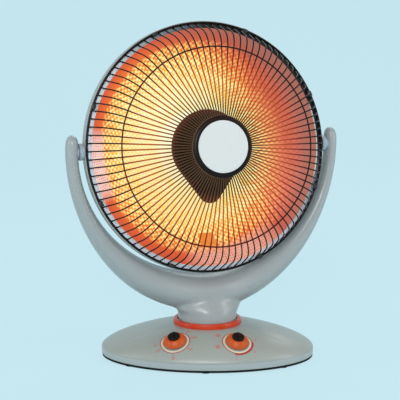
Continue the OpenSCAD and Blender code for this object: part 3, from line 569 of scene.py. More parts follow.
skirt_line = eased([(9.2, 0.9, 0.2), (SKIRT_R, 0.9, 0.3), (SKIRT_R, 2.2, 0.8), (14.6, 5.4, 6),
                    (CAP_R + 2.2, SKIRT_H - 0.2, 1.2), (CAP_R + 0.6, SKIRT_H, 0.3),
                    (3.1, SKIRT_H, 0), (3.1, 4.1, 0), (9.2, 4.1, 0.2)], 6)
knob_orange = moulded("orange ABS", paint(186, 78, 26), 0.36, 0.07, 16e-6, 1500,
                      {"Specular IOR Level": 0.25})
gloss_black = moulded("glossy black", paint(6, 6, 7), 0.3, 0.1, 6e-6, 1500,
                      {"Specular IOR Level": 0.25})
CAP_TOP = SKIRT_H + CAP_H
cap_line = eased([(0, SKIRT_H + 0.05, 0), (CAP_R, SKIRT_H + 0.05, 0.15), (CAP_R, CAP_TOP - 0.3, 0.8),
                  (CAP_R - 1.6, CAP_TOP, 0.6), (CAP_R - 2.4, CAP_TOP - 0.5, 0.4), (0, CAP_TOP - 0.5, 0)])
for name, at in (("timer", TIMER), ("power", POWER)):
    fit(turned(name + "_skirt", skirt_line, 180, at, fluted), name + "_dial", "knob_orange",
        knob_orange, name + "_knob")
    pointer = block("pointer", (-1.2, -6.0, SKIRT_H + 1), (1.2, 8.0, CAP_TOP + 0.9), 0.4, at)
    fit(carve(turned(name + "_pointer_cap", cap_line, 72, at), pointer, "UNION"), name + "_dial",
        "cap_black", gloss_black, name + "_cap")

# ---------------------------------------------------------------------------
# Spindle of the neck.
# A flanged steel tube carries the yoke in the bush. A slotted nut holds it
# from below and four screws hold the yoke's floor on its flange.
dull_steel = Finish("turned steel", {"Metallic": 1.0})
turning = dull_steel.add("ShaderNodeTexWave", {"wave_type": "RINGS", "rings_direction": "Z"}, {
    "Vector": dull_steel.where(), "Scale": 900.0, "Distortion": 0.6})
dull_steel.feed("Base Color", dull_steel.mix(turning, paint(150, 152, 156), paint(186, 187, 188)))
dull_steel.feed("Roughness", 0.32 + turning * 0.14)
dull_steel.emboss(turning, 8e-6)
dress(dull_steel, "neck_spindle", "spindle_nut")

# ---------------------------------------------------------------------------
# Yoke: crescent and neck.
# Two hollow ABS mouldings, front and rear, meet in a fine joint along the
# middle of the crescent and are screwed together from behind. The neck widens
# into the crescent along a soft hollow. Light grey, satin gloss.
SWUNG = spin(20.9, "Z")                 # how far the neck has swung
TILT_Z, CRADLE_R, ARM_IN, ARM_OUT = 309, 185, 190.5, 208.8
YOKE_T, YOKE_D, YOKE_SWELL, ARM_D, YOKE_WALL, LEAN, YOKE_BACK = 57, 62, 16, 25, 2.4, 8, 14
END_ANGLE = 90 + math.degrees(math.asin(25 / ((ARM_IN + ARM_OUT) / 2)))
TIP_ROUND = 13


def swell(s):
    return max(0.0, cos(radians(min(90, abs(s)))))


def inner_r(s):
    return CRADLE_R + (ARM_IN - CRADLE_R) * (1 - swell(s) ** 2)


def outer_r(s):
    return ARM_OUT + (CRADLE_R + YOKE_T - ARM_OUT) * swell(s) ** 2.7


def half_depth(s, front=False):
    extra = YOKE_SWELL * swell(s) ** 24 if front else 0
    return ARM_D / 2 + (YOKE_D - ARM_D) / 2 * swell(s) ** 1.6 + extra


def middle_y(s):
    """How far the joint of the two mouldings lies behind the swing axis."""
    return LEAN + (YOKE_BACK - LEAN) * min(1.0, swell(s) / cos(radians(20)))


def crescent_loop(s, shrink, count=56):
    mid, half = (inner_r(s) + outer_r(s)) / 2, (outer_r(s) - inner_r(s)) / 2 * shrink
    a = radians(s)
    loop = []
    for k in range(count):
        q = 2 * pi * k / count
        deep = half_depth(s, sin(q) < 0) * shrink
        r = mid + half * (cos(q) if cos(q) > 0 else -(-cos(q)) ** 0.8)
        loop.append((r * sin(a), middle_y(s) + deep * sin(q), TILT_Z - r * cos(a)))
    return loop


arm_mid = (ARM_IN + ARM_OUT) / 2
tip_start = END_ANGLE - math.degrees(TIP_ROUND / arm_mid)
sweep = [(tip_start * k / 64, 1.0) for k in range(-64, 65)]
tip = [(END_ANGLE - math.degrees(TIP_ROUND * (1 - cos(radians(f))) / arm_mid), sin(radians(f)))
       for f in (75, 60, 45, 30, 16, 6)]
stations = [(-s, f) for s, f in reversed(tip)] + sweep + tip
crescent = skin("crescent", [crescent_loop(s, f) for s, f in stations], SWUNG)

FILLET = 9
FILLET_X, NECK_Z, NECK_TOP = NECK_R + FILLET, DECK_Z + 2, TILT_Z - CRADLE_R - YOKE_T * 0.42


def underside(x):
    """Height of the crescent's underside."""
    s = 10.0
    for _ in range(6):
        s = math.degrees(math.asin(x / outer_r(s)))
    return TILT_Z - outer_r(s) * cos(radians(s))


fillet_slope = math.atan((underside(FILLET_X + 1) - underside(FILLET_X - 1)) / 2)
FILLET_Z = underside(FILLET_X) - FILLET / cos(fillet_slope)
FILLET_RUN = FILLET * cos(fillet_slope)


def neck_half_width(z):
    if z <= FILLET_Z:
        return NECK_R
    if z <= FILLET_Z + FILLET_RUN:
        return FILLET_X - sqrt(FILLET ** 2 - (z - FILLET_Z) ** 2)
    rest = (z - FILLET_Z - FILLET_RUN) / (NECK_TOP - FILLET_Z - FILLET_RUN)
    return neck_half_width(FILLET_Z + FILLET_RUN) * sqrt(1 - 0.6 * rest ** 2)


def neck_loop(z):
    merged = 0.5 - 0.5 * cos(pi * max(0.0, (z - FILLET_Z) / (NECK_TOP - FILLET_Z)))
    mid = (YOKE_BACK - YOKE_SWELL / 2) * merged
    deep = NECK_R + (YOKE_D / 2 + YOKE_SWELL / 2 - 2 - NECK_R) * merged
    return oval(neck_half_width(z), deep, z, 96, mid)


levels = [NECK_Z, NECK_Z + 7, FILLET_Z]
levels += [FILLET_Z + FILLET_RUN * sin(radians(5 * k)) for k in range(1, 19)]
levels += [FILLET_Z + FILLET_RUN + (NECK_TOP - FILLET_Z - FILLET_RUN) * k / 10 for k in range(1, 11)]
neck = skin("neck", [neck_loop(z) for z in levels], SWUNG)
KNIT_SIZE, CALM_STEPS = 1.5, 40         # the two are welded into one skin, then smoothed
yoke = gather("yoke", [crescent, neck], SWUNG)
knit = yoke.modifiers.new("one skin", "REMESH")
knit.mode, knit.voxel_size = "VOXEL", KNIT_SIZE * MM
calm = yoke.modifiers.new("smooth", "SMOOTH")
calm.factor, calm.iterations = 0.5, CALM_STEPS
settle(yoke)

cavity = placed("cavity", yoke.data.copy(), SWUNG)
for vertex, normal in [(v, v.normal.copy()) for v in cavity.data.vertices]:
    vertex.co -= normal * YOKE_WALL * MM
FLOOR_Z, FLOOR_T, SPINDLE_BORE = 54.65, 3, 26
carve(cavity, pillar("mouth", NECK_R - YOKE_WALL, 40, 58, SWUNG, 96), "UNION")
yoke_floor = turned("floor", [(SPINDLE_BORE / 2, FLOOR_Z), (NECK_R, FLOOR_Z), (NECK_R, FLOOR_Z + FLOOR_T),
                              (SPINDLE_BORE / 2, FLOOR_Z + FLOOR_T)], 96, SWUNG)
carve(cavity, yoke_floor)
SCREW_STATIONS, TUBE_R, HEAD_BORE, SHANK_BORE = (-62, -22, 22, 62), 4.4, 3.3, 1.56
YOKE_SCREW_HEAD = (2.9, 2)              # radius and height


def yoke_axis(s):
    """The frame of a yoke screw, Z pointing to the back."""
    mid, a = (inner_r(s) + outer_r(s)) / 2, radians(s)
    spot = Vector((mid * sin(a), middle_y(s), TILT_Z - mid * cos(a)))
    return SWUNG @ move(*spot) @ spin(-90, "X")


yoke_screws = []
for s in SCREW_STATIONS:
    tube = pillar("screw tube", TUBE_R, 1 - half_depth(s, True), half_depth(s) - 1, yoke_axis(s))
    carve(cavity, tube)
carve(yoke, cavity)
for s in SCREW_STATIONS:
    deep = half_depth(s)
    carve(yoke, pillar("counterbore", HEAD_BORE, deep - 6, deep + 20, yoke_axis(s)))
    carve(yoke, pillar("bore", SHANK_BORE, -12, deep, yoke_axis(s), 24))
    seat = yoke_axis(s) @ move(0, 0, deep - 5.95)
    yoke_screws.append(screw("screw", seat, *YOKE_SCREW_HEAD, 1.5, deep + 5))
QUARTERS, FLANGE_SCREW_R, FLANGE_BORE = (45, 135, 225, 315), NECK_R - YOKE_WALL - 8, 2.2
for a in QUARTERS:
    spot = SWUNG @ spin(a, "Z") @ move(FLANGE_SCREW_R, 0, 0)
    carve(yoke, pillar("bore", FLANGE_BORE, FLOOR_Z - 1, FLOOR_Z + FLOOR_T + 1, spot, 24))
PIVOT_SEAT, PIVOT_BORE, PIVOT_DEPTH = 12.8, 9.05, 12.4
for side in (-1, 1):
    pivot = SWUNG @ move(0, LEAN, TILT_Z) @ spin(90 * side, "Y")
    carve(yoke, pillar("pivot seat", PIVOT_SEAT, ARM_IN - 3, ARM_IN + 0.3, pivot))
    carve(yoke, pillar("pivot bore", PIVOT_BORE, ARM_IN - 3, ARM_IN + PIVOT_DEPTH, pivot))


def behind_joint(shift):
    """A solid that holds everything behind the joint of the two yoke mouldings."""
    reach, step, back, foot, rows = 216, 6, 90, 44, 52
    xs = range(-reach, reach + 1, step)
    loops = [[(x, middle_y(math.degrees(math.atan2(x, TILT_Z - z))) + shift, z) for x in xs]
             + [(reach, back, z), (-reach, back, z)] for z in range(foot, foot + rows * step, step)]
    return skin("behind", loops, SWUNG)


JOINT = 0.3
rear_yoke = placed("yoke_rear_moulding", yoke.data.copy(), SWUNG)
yoke.name = "yoke_front_moulding"
carve(yoke, behind_joint(-JOINT / 2))
carve(rear_yoke, behind_joint(JOINT / 2), "INTERSECT")
arm_grey = moulded("light grey ABS, yoke", paint(152, 158, 159), 0.28, 0.04, 14e-6, 1700)
fit(yoke, "yoke", "body_shell", arm_grey, "yoke_front", flat=50)
fit(rear_yoke, "yoke", "body_shell", arm_grey, "yoke_rear", flat=50)
fit(gather("yoke_joint_screws", yoke_screws), "yoke", "steel", zinc, "yoke_screws")

# ---------------------------------------------------------------------------
# Tilt pivots.
# A bluish grey acetal boss with a steel pin stands on each side of the head
# and turns in a bush in the arm. A hex nut inside the shell holds it.
SHELL_R, AXIS_BACK, BOSS_LEN, PIN_D, BOSS_D = 183, 12, 6.8, 12, 24
TILTED_UP = 6.7                         # degrees above level
HEAD = SWUNG @ move(0, LEAN, TILT_Z) @ spin(90 - TILTED_UP, "X") @ move(0, 0, AXIS_BACK)
TILT = [HEAD @ move(0, 0, -AXIS_BACK) @ spin(90 * side, "Y") for side in (-1, 1)]
pin_outline = [(0, -9, 0), (PIN_D / 2 - 2, -9, 0.4), (PIN_D / 2 - 2, 0.05, 0), (BOSS_D / 2, 0.05, 0.8),
               (BOSS_D / 2, BOSS_LEN, 1.6), (PIN_D / 2, BOSS_LEN, 0.2), (PIN_D / 2, BOSS_LEN + 11, 0.8),
               (0, BOSS_LEN + 11, 0)]
pin_line = eased([(r, SHELL_R + out, ease) for r, out, ease in pin_outline])
pivot_blue = moulded("blue-grey acetal", paint(150, 163, 173), 0.38, 0.05)
dress(pivot_blue, "pivot_bushes")
fit(gather("pivot_bosses", [turned("pin", pin_line, 72, at) for at in TILT], HEAD),
    "head", "pivot_blue", pivot_blue, "pivot_pins")

# ---------------------------------------------------------------------------
# Rear shell.
# A bowl of light grey ABS, 2 mm thick, that carries the reflector and guard
# on the ledge behind its rim. Thirty-six round-ended slots near its back let
# the warm air out. A fine step runs round it behind the lip.
SHELL_WALL, SHELL_BAND, SHELL_DEPTH, BACK_R, FLANGE_BACK = 2, 19, 96, 56, 4.2
LIP_Z = -3.45
BOWL_R, BOWL_Z, POST_D = SHELL_R - 7, -SHELL_BAND - 3, 18


def bowl_at(r):
    return BOWL_Z - (SHELL_DEPTH + BOWL_Z) * (1 - (r / BOWL_R) ** 2) / (1 - (BACK_R / BOWL_R) ** 2)


bowl_steps = 36
bowl_radii = [BOWL_R + (BACK_R - BOWL_R) * k / bowl_steps for k in range(bowl_steps + 1)]
shell_line = [(SHELL_R - 0.6, LIP_Z), (SHELL_R, LIP_Z - 0.6), (SHELL_R, -8.4), (SHELL_R - 0.45, -8.8),
              (SHELL_R - 0.45, -9.6), (SHELL_R, -10), (SHELL_R, -SHELL_BAND + 3),
              (SHELL_R - 0.6, -SHELL_BAND - 0.4), (SHELL_R - 2.6, -SHELL_BAND - 2.2)]
shell_line += [(r, bowl_at(r)) for r in bowl_radii[1:]]
shell_line += [(POST_D / 2 + 3, -SHELL_DEPTH), (POST_D / 2 + 3, -SHELL_DEPTH + SHELL_WALL)]
shell_line += [(r - SHELL_WALL * 0.5, bowl_at(r) + SHELL_WALL) for r in reversed(bowl_radii)]
shell_line += [(SHELL_R - SHELL_WALL, -SHELL_BAND + 1), (SHELL_R - SHELL_WALL, -FLANGE_BACK - 1.8),
               (SHELL_R - 6, -FLANGE_BACK - 1.8), (SHELL_R - 6, -FLANGE_BACK - 0.05),
               (SHELL_R - SHELL_WALL, -FLANGE_BACK - 0.05), (SHELL_R - SHELL_WALL, LIP_Z)]
shell = turned("rear_shell_moulding", shell_line, 288, HEAD)
VENTS, VENT_IN, VENT_OUT, VENT_W = 36, BACK_R + 22, BACK_R + 70, 3.6
round_end = [(VENT_W / 2 * cos(radians(a)), VENT_W / 2 * sin(radians(a))) for a in range(-90, 91, 30)]
vent_loop = [(VENT_OUT - VENT_W / 2 + x, y) for x, y in round_end]
vent_loop += [(VENT_IN + VENT_W / 2 - x, -y) for x, y in round_end]
vents = [skin("vent", [[(x, y, z) for x, y in vent_loop] for z in (-SHELL_DEPTH - 2, -28)],
             HEAD @ spin(360 * (k + 0.5) / VENTS, "Z")) for k in range(VENTS)]
carve(shell, gather("vents", vents, HEAD))
for at in TILT:
    carve(shell, pillar("pivot hole", PIN_D / 2 - 1.9, SHELL_R - 12, SHELL_R + 8, at))
CAP_SPOTS = [HEAD @ spin(a, "Z") @ move(BACK_R - 8, 0, -SHELL_DEPTH) for a in QUARTERS]
for at in CAP_SPOTS:
    carve(shell, pillar("screw hole", 1.7, -1, 5, at, 24))
shell_grey = moulded("light grey ABS, head", paint(156, 161, 160), 0.38, 0.04, 16e-6, 1700)
fit(shell, "head", "body_shell", shell_grey, "rear_shell", flat=34)

# ---------------------------------------------------------------------------
# Rear cap and its screws.
# A round grey cover with a stepped rim and an open middle closes the bowl's
# back. Four zinc-plated screws in sunk seats hold it on the shell.
cap_line = eased([(BACK_R - 1, -0.05, 0.2), (BACK_R - 1, -2, 0.6), (BACK_R - 5, -5.05, 1.2),
                  (BACK_R - 12, -5.05, 0.6), (BACK_R - 12.6, -4.4, 0.3), (BACK_R - 14, -4.4, 0.3),
                  (BACK_R - 14, -1.85, 0.3), (0, -1.85, 0), (0, -0.05, 0)])
rear_cap = turned("rear_cover", [(r, z - SHELL_DEPTH) for r, z in cap_line], 144, HEAD)
CAP_SCREW, cap_screws = (3, 1.8, 1.6, 7), []
for at in CAP_SPOTS:
    carve(rear_cap, pillar("seat", 3.4, -8, -3.05, at))
    carve(rear_cap, pillar("bore", 1.8, -10, 2, at, 24))
    cap_screws.append(screw("screw", at @ move(0, 0, -3.15) @ spin(180, "X"), *CAP_SCREW))
fit(rear_cap, "head", "body_shell", shell_grey, "rear_cap")
fit(gather("rear_cap_screws", cap_screws, HEAD), "head", "steel", zinc, "cap_screws")

# ---------------------------------------------------------------------------
# Reflector.
# A spun aluminium dish with a flat flange and a rolled bead. Rings of ninety-six
# dimples, each ring staggered against the next, spread the lamp's light. Its
# lit look is painted: the reflected glow, from pale yellow behind the lamp to
# orange-red near its edge, painted glints on the dimples, painted reflections of
# the room and on the flange, and a painted highlight on the bead.
DISH_R, FLANGE_R, DISH_DEPTH, DISH_T = 172.5, 180.7, 75, 0.8
DISH_Z = -FLANGE_BACK
DIMPLES, DIMPLE_IN, DIMPLE_PITCH, DIMPLE_ROWS, DIMPLE_DEPTH = 96, 58.0, 7.0, 14, 0.5
DIMPLE_OUT = DIMPLE_IN + DIMPLE_PITCH * DIMPLE_ROWS


def dish_at(r):
    return DISH_Z - DISH_DEPTH * (1 - (r / DISH_R) ** 2)


def dish_front(r, bearing):
    """Height of the reflector's front face, with its dimples."""
    if r > DISH_R + 1.8:
        return DISH_Z + DISH_T
    if r > DISH_R:
        return DISH_Z + DISH_T + 0.75 * sin(pi * (r - DISH_R) / 1.8)
    z = dish_at(r) + DISH_T
    if DIMPLE_IN < r < DIMPLE_OUT:
        z += DIMPLE_DEPTH * max(0.0, cos(2 * pi * (r - DIMPLE_IN) / DIMPLE_PITCH) * cos(DIMPLES * bearing))
    return z


dish_steps = DIMPLES * 4
dish_radii = [POST_D / 2 + 0.5 + k * (DIMPLE_IN - POST_D / 2 - 0.5) / 14 for k in range(14)]
dish_radii += [DIMPLE_IN + DIMPLE_PITCH * k / 4 for k in range(DIMPLE_ROWS * 4 + 1)]
dish_radii += [DIMPLE_OUT + (DISH_R - DIMPLE_OUT) * k / 10 for k in range(1, 11)]
dish_radii += [DISH_R + d for d in (0.45, 0.9, 1.35, 1.8)] + [FLANGE_R - 0.3]
dish_rows = [(r, dish_front) for r in dish_radii] + [(FLANGE_R, lambda r, b: DISH_Z + DISH_T - 0.25)]
dish_rows += [(FLANGE_R, lambda r, b: DISH_Z)]
dish_rows += [(r, lambda r, b: dish_front(r, b) - DISH_T) for r in reversed(dish_radii)]
dish_bearings = [2 * pi * k / dish_steps for k in range(dish_steps)]
dish_loops = [[(r * cos(a), r * sin(a), height(r, a)) for a in dish_bearings] for r, height in dish_rows]
dish = skin("dimpled_reflector", dish_loops, HEAD, joined=True)
SENSOR_R, SENSOR_X, SENSOR_SIDE, SENSOR_HOLE = 137, 3, 24, 3.2
sensor_slope = math.degrees(math.atan(2 * DISH_DEPTH * SENSOR_R / DISH_R ** 2))
SENSOR = HEAD @ move(SENSOR_X, -SENSOR_R, dish_at(SENSOR_R) + DISH_T) @ spin(-sensor_slope, "X")
carve(dish, pillar("sensor hole", SENSOR_HOLE, -10, 10, SENSOR))


def polar(finish):
    """In the head's frame: radius (mm), cosine and sine of the bearing, bearing, height (mm)."""
    x = finish.add("ShaderNodeSeparateXYZ", {}, {0: finish.where(HEAD)})
    y, z = x.other("Y"), x.other("Z")
    r = (x * x + y * y).maths("SQRT")
    return r * (1 / MM), x / r, y / r, y.maths("ARCTAN2", x), z * (1 / MM)


SHORT_GLOW_SIDE = radians(22)                 # the painted glow ends nearest to the middle at this bearing
# The dish is no lamp: its emission is painted reflected lamp light.
painted_glow_dish = Finish("lit aluminium", {"Roughness": 0.34, "Emission Strength": 1.0})
radius, across, upward, bearing, height = polar(painted_glow_dish)
facing = across * cos(SHORT_GLOW_SIDE) + upward * sin(SHORT_GLOW_SIDE)


def towards(degrees, low, high):
    """1 near a bearing and 0 away from it, by the cosine of the angle between."""
    a = radians(degrees)
    return band(across * cos(a) + upward * sin(a), low, high)


reach = radius + facing * 24            # as a radius, with the painted glow's lean and lobes taken out
reach = reach - towards(104, 0.5, 1.0) * 19 + towards(224, 0.8, 1.0) * 7 - towards(305, 0.8, 1.0) * 6


def by_reach(tones, low=40.0, high=200.0):
    stops = [((r - low) / (high - low), paint(*tone)) for r, tone in tones]
    return painted_glow_dish.ramp(band(reach, low, high), stops)


# Painted reflected lamp light: spark holds the tones of the painted glints on the dimples, ground those of
# the painted glow between them.
spark = by_reach([(60, (255, 254, 216)), (95, (255, 250, 190)), (115, (255, 246, 164)),
                  (128, (255, 232, 138)), (138, (255, 198, 108)), (148, (248, 162, 94)),
                  (158, (224, 116, 76)), (170, (202, 108, 88)), (182, (190, 120, 104))])
ground = by_reach([(60, (255, 238, 150)), (88, (255, 218, 112)), (104, (252, 192, 86)),
                   (116, (246, 160, 70)), (128, (238, 130, 60)), (138, (230, 108, 54)),
                   (148, (214, 90, 52)), (158, (202, 82, 54)), (170, (186, 84, 68)),
                   (182, (158, 92, 82))])
# Where the painted glints fall: staggered rows of dimples, broken up by streaky noise; speck gives the fine
# dots of the knurled band in the painted reflected light.
rows = ((radius - DIMPLE_IN) * (2 * pi / DIMPLE_PITCH)).maths("COSINE")
dimpled = band(radius, DIMPLE_IN - 2, DIMPLE_IN + 4) * (1 - band(radius, DIMPLE_OUT - 2, DIMPLE_OUT + 2))
streaks = painted_glow_dish.add("ShaderNodeTexNoise", {"noise_dimensions": "2D"}, {
    "Vector": painted_glow_dish.add("ShaderNodeCombineXYZ", {}, {0: radius * 0.06, 1: bearing * 30}),
    "Scale": 1.0, "Detail": 2.0})
bumps = rows * (bearing * DIMPLES).maths("COSINE")
dimple_glints = band(bumps + (streaks - 0.5) * 2.6, -0.35, 0.45) * dimpled
speck = band((radius * (2 * pi / 3.4)).maths("COSINE") + (bearing * (DIMPLES * 3)).maths("COSINE")
             + (streaks - 0.5) * 4, 0.0, 1.2)
tone = painted_glow_dish.mix((dimple_glints + (1 - dimpled) * (1 - band(radius, 50, 70))).maths("MINIMUM", 1.0), ground, spark)
# Painted shade in the outer band on one side, and painted reflections of the pale room.
dusky = towards(38, 0.1, 0.95) * band(radius, 146, 168)
pale = towards(187, 0.945, 0.985) * band(radius, 147, 156)       # painted reflections of the pale room
pale_low = towards(284, 0.88, 0.97) * band(radius, 143, 158)
edge_specks = speck * ((pale + pale_low).maths("MINIMUM", 1.0) + dusky * 0.6)
# Patches of painted reflected light and shade laid over the glow.
for share, patch, colour in (
        (0.2, towards(0, 0.5, 0.95) * band(radius, 84, 106), (244, 176, 156)),
        (0.3, towards(232, 0.2, 0.9) * (1 - band(radius, 110, 140)), (250, 194, 74)),
        (0.5, towards(18, 0.5, 0.97) * band(radius, 108, 134), (188, 82, 54)),
        (0.75, dusky, (156, 112, 100)), (0.8, pale, (252, 226, 218)), (0.75, pale_low, (240, 186, 164)),
        (0.6, edge_specks, (184, 78, 66))):
    tone = painted_glow_dish.mix(patch * share, tone, paint(*colour))
on_flange = band(radius, DISH_R - 0.3, DISH_R + 0.5)
# The flange takes a painted reflection: pale towards one side, near black towards the other.
pale_reflection_side = band(across * cos(radians(-135)) + upward * sin(radians(-135)), -0.72, 0.1)
flange_reflection = painted_glow_dish.mix(pale_reflection_side, paint(22, 21, 23), paint(214, 222, 232))
# A painted highlight along the bead on one side.
bead_highlight = on_flange * (1 - band(radius, DISH_R + 1.6, DISH_R + 2.0)) * towards(2, 0.94, 0.97)
above_back = height - (DISH_Z - DISH_DEPTH) - radius * radius * (DISH_DEPTH / DISH_R ** 2)
lit_side = (band(above_back, 0.6, 0.7) + on_flange).maths("MINIMUM", 1.0)     # the painted glow lies on the front only; the back stays dark
# Emission: the painted glow, and the painted bead highlight on the flange.
light = painted_glow_dish.mix(on_flange, tone, painted_glow_dish.mix(bead_highlight, paint(0, 0, 0), paint(196, 198, 200)))
painted_glow_dish.feed("Emission Color", painted_glow_dish.mix(lit_side, paint(0, 0, 0), light))
# Base colour: a trace of the painted glow, and the flange's painted reflection.
metal_and_reflection = painted_glow_dish.mix(on_flange, painted_glow_dish.mix(0.93, tone, paint(0, 0, 0)), flange_reflection)
painted_glow_dish.feed("Base Color", painted_glow_dish.mix(lit_side, paint(128, 130, 131), metal_and_reflection))
painted_glow_dish.feed("Metallic", 0.5 - on_flange * 0.35)
fit(dish, "head", "dish_metal", painted_glow_dish, "reflector", flat=30)

# ---------------------------------------------------------------------------
# Lamp: post, bracket, caps, tube and filament.
# A turned aluminium post carries a steel bracket. Two steatite caps hold a
# quartz tube, and a coiled tungsten filament burns inside it. Post, bracket and
# caps carry a faint painted glow of the lamp's light.
PLATE_BACK, LAMP_D, LAMP_LEN = -28, 10, 88
LAMP_Z = PLATE_BACK + 12
# The post and bracket's faint warm emission is painted lamp light.
aluminium_with_painted_glow = Finish("aluminium", {"Metallic": 0.9, "Roughness": 0.36, "Emission Strength": 0.5,
                              "Emission Color": paint(120, 70, 30)})
bright_cloud = aluminium_with_painted_glow.noise(160, 5)
aluminium_with_painted_glow.feed("Base Color", aluminium_with_painted_glow.mix(bright_cloud, paint(176, 174, 170), paint(205, 200, 192)))
aluminium_with_painted_glow.emboss(aluminium_with_painted_glow.noise(900, 3), 20e-6)
dress(aluminium_with_painted_glow, "lamp_post", "lamp_bracket")
steatite = moulded("steatite", paint(228, 224, 210), 0.55, 0.05, 40e-6, 700)
# The caps' warm emission is painted lamp light.
steatite.feed("Emission Strength", 0.6)
steatite.feed("Emission Color", paint(150, 96, 50))
caps = []
for side in (-1, 1):
    end = LAMP_LEN / 2 - 3.5
    low, high = sorted((side * end, side * (end + 16)))
    lump = block("cap", (-8, low, PLATE_BACK + 1.55), (8, high, PLATE_BACK + 19.55), 1.2, HEAD)
    tube_way = HEAD @ move(0, side * LAMP_LEN / 2, LAMP_Z) @ spin(90 * side, "X")
    caps.append(carve(lump, pillar("socket", LAMP_D / 2 + 0.05, 0, 30, tube_way)))
fit(gather("lamp_end_caps", caps, HEAD), "head", "ceramic", steatite, "lamp_caps")

LAMP = HEAD @ move(0, 0, LAMP_Z) @ spin(90, "X")
tube_line = eased([(LAMP_D / 2 - 1, -LAMP_LEN / 2, 0.2), (LAMP_D / 2, -LAMP_LEN / 2, 0.4),
                   (LAMP_D / 2, LAMP_LEN / 2, 0.4), (LAMP_D / 2 - 1, LAMP_LEN / 2, 0.2)])
quartz = Finish("quartz glass", {"Roughness": 0.03, "IOR": 1.46, "Transmission Weight": 1.0,
                                 "Base Color": paint(255, 238, 205)})
quartz.emboss(quartz.noise(60, 2), 20e-6)
fit(turned("quartz_tube", tube_line, 64, LAMP), "head", "lamp_glass", quartz, "lamp_tube")


def rod(name, path, radius, up, sides=8, closed=False, at=Matrix()):
    """A round wire of a radius along a path of points; up is never along the path."""
    up, n, spots, loops = Vector(up), len(path), [Vector(p) for p in path], []
    for k, spot in enumerate(spots):
        ahead = spots[(k + 1) % n] if closed or k < n - 1 else spot
        back = spots[k - 1] if closed or k else spot
        along = (ahead - back).normalized()
        side = up.cross(along).normalized()
        rise = along.cross(side)
        turns = (2 * pi * i / sides for i in range(sides))
        loops.append([spot + (side * cos(a) + rise * sin(a)) * radius for a in turns])
    return skin(name, loops, at, closed)


COIL_R, COIL_TURNS, COIL_STEPS = 1.5, 30, 14
coil_half = LAMP_LEN / 2 - 5
coil = []
for k in range(COIL_TURNS * COIL_STEPS + 1):
    a = 2 * pi * k / COIL_STEPS
    coil.append((COIL_R * cos(a), COIL_R * sin(a), coil_half * (2 * k / (COIL_TURNS * COIL_STEPS) - 1)))
ends = [[(0, 0, side * LAMP_LEN / 2), (0, 0, side * (coil_half + 1.6)), (0.8, 0, side * (coil_half + 0.6)),
         (COIL_R, 0, side * coil_half)] for side in (-1, 1)]
burning = Finish("white-hot tungsten", {"Roughness": 0.5, "Base Color": paint(120, 70, 30),
                                        "Emission Strength": 2.0})
burning.feed("Emission Color", burning.mix(burning.noise(40, 1), paint(255, 190, 90), paint(255, 226, 150)))
fit(gather("coiled_filament", [rod("coil", coil, 0.35, (0, 0, 1), 6, at=LAMP)]
           + [rod("end", line, 0.4, (0, 1, 0), 6, at=LAMP) for line in ends], LAMP),
    "head", "filament", burning, "lamp_filament")

# ---------------------------------------------------------------------------
# Heat shield and amber plate.
# A pear-shaped steel plate with a turned edge, stove-enamelled brown-black,
# hides the lamp from the front. A square amber lens low in the dish covers
# the sensor. Both carry painted light from the dish in their emission.
SHIELD_R, SHIELD_TAIL, TAIL_W, SHIELD_Z, SHIELD_RIM, SHIELD_SKIN = 55, 81, 33, 4, 8, 1.2


def pear(less, count=96):
    """Outline of the heat shield, drawn in by a distance."""
    big, small, drop = SHIELD_R - less, TAIL_W / 2 - less, SHIELD_TAIL - TAIL_W / 2
    lean = math.degrees(math.asin((big - small) / drop))
    split = int(count * (180 + 2 * lean) / 360)
    top = [(big * cos(radians(a)), big * sin(radians(a)))
           for a in (-lean + (180 + 2 * lean) * k / split for k in range(split + 1))]
    rest = count - split
    low = [(small * cos(radians(a)), -drop + small * sin(radians(a)))
           for a in (180 + lean + (180 - 2 * lean) * k / rest for k in range(rest + 1))]
    return top + low


SKIN_Z = SHIELD_Z - SHIELD_SKIN
edge_steps = [(SHIELD_SKIN, SHIELD_Z - SHIELD_RIM), (0.0, SHIELD_Z - SHIELD_RIM), (0.0, SHIELD_Z - 2.2),
              (0.3, SHIELD_Z - 1.1), (1.0, SHIELD_Z - 0.35), (2.2, SHIELD_Z)]
inner_steps = [(3.2, SKIN_Z), (2.0, SKIN_Z - 0.5), (SHIELD_SKIN, SKIN_Z - 1.8)]
shield_loops = [[(x * f, y * f, SKIN_Z) for x, y in pear(3.2)] for f in (0.4, 0.75)]
shield_loops += [[(x, y, z) for x, y in pear(less)] for less, z in inner_steps + edge_steps]
shield_loops += [[(x * f, y * f, SHIELD_Z) for x, y in pear(2.2)] for f in (0.75, 0.4)]
enamel = Finish("brown-black enamel", {"Roughness": 0.5, "Emission Strength": 1.0,
                                       "Specular IOR Level": 0.15})
radius, across, upward, *_ = polar(enamel)
# Painted light from the dish in the emission: paler at the tail, reddish along the top and left edges.
low_end = band(0 - upward * radius, 62, 82)
red_edge = band(radius, 44, 55) * band(upward, -0.1, 0.7)
left_edge = band(radius, 50, 56) * band(0 - across, 0.2, 0.9)
dish_light_paint = enamel.mix(low_end * 0.75, paint(2, 1, 1), paint(70, 44, 36))
dish_light_paint = enamel.mix((red_edge + left_edge * 0.7).maths("MINIMUM", 1.0) * 0.7, dish_light_paint, paint(88, 30, 24))
enamel.feed("Emission Color", dish_light_paint)
enamel.feed("Base Color", enamel.mix(enamel.noise(90, 4), paint(7, 4, 4), paint(13, 8, 7)))
enamel.emboss(enamel.noise(1200, 3), 25e-6)
fit(skin("pear_shield", shield_loops, HEAD), "head", "shield_dark", enamel, "heat_shield")

amber = Finish("amber lens", {"Roughness": 0.2, "Emission Strength": 1.0, "Coat Weight": 0.4,
                              "Coat Roughness": 0.1})
amber_cloud = amber.noise(220, 4)
amber.feed("Base Color", amber.mix(amber_cloud, paint(150, 84, 30), paint(186, 112, 44)))
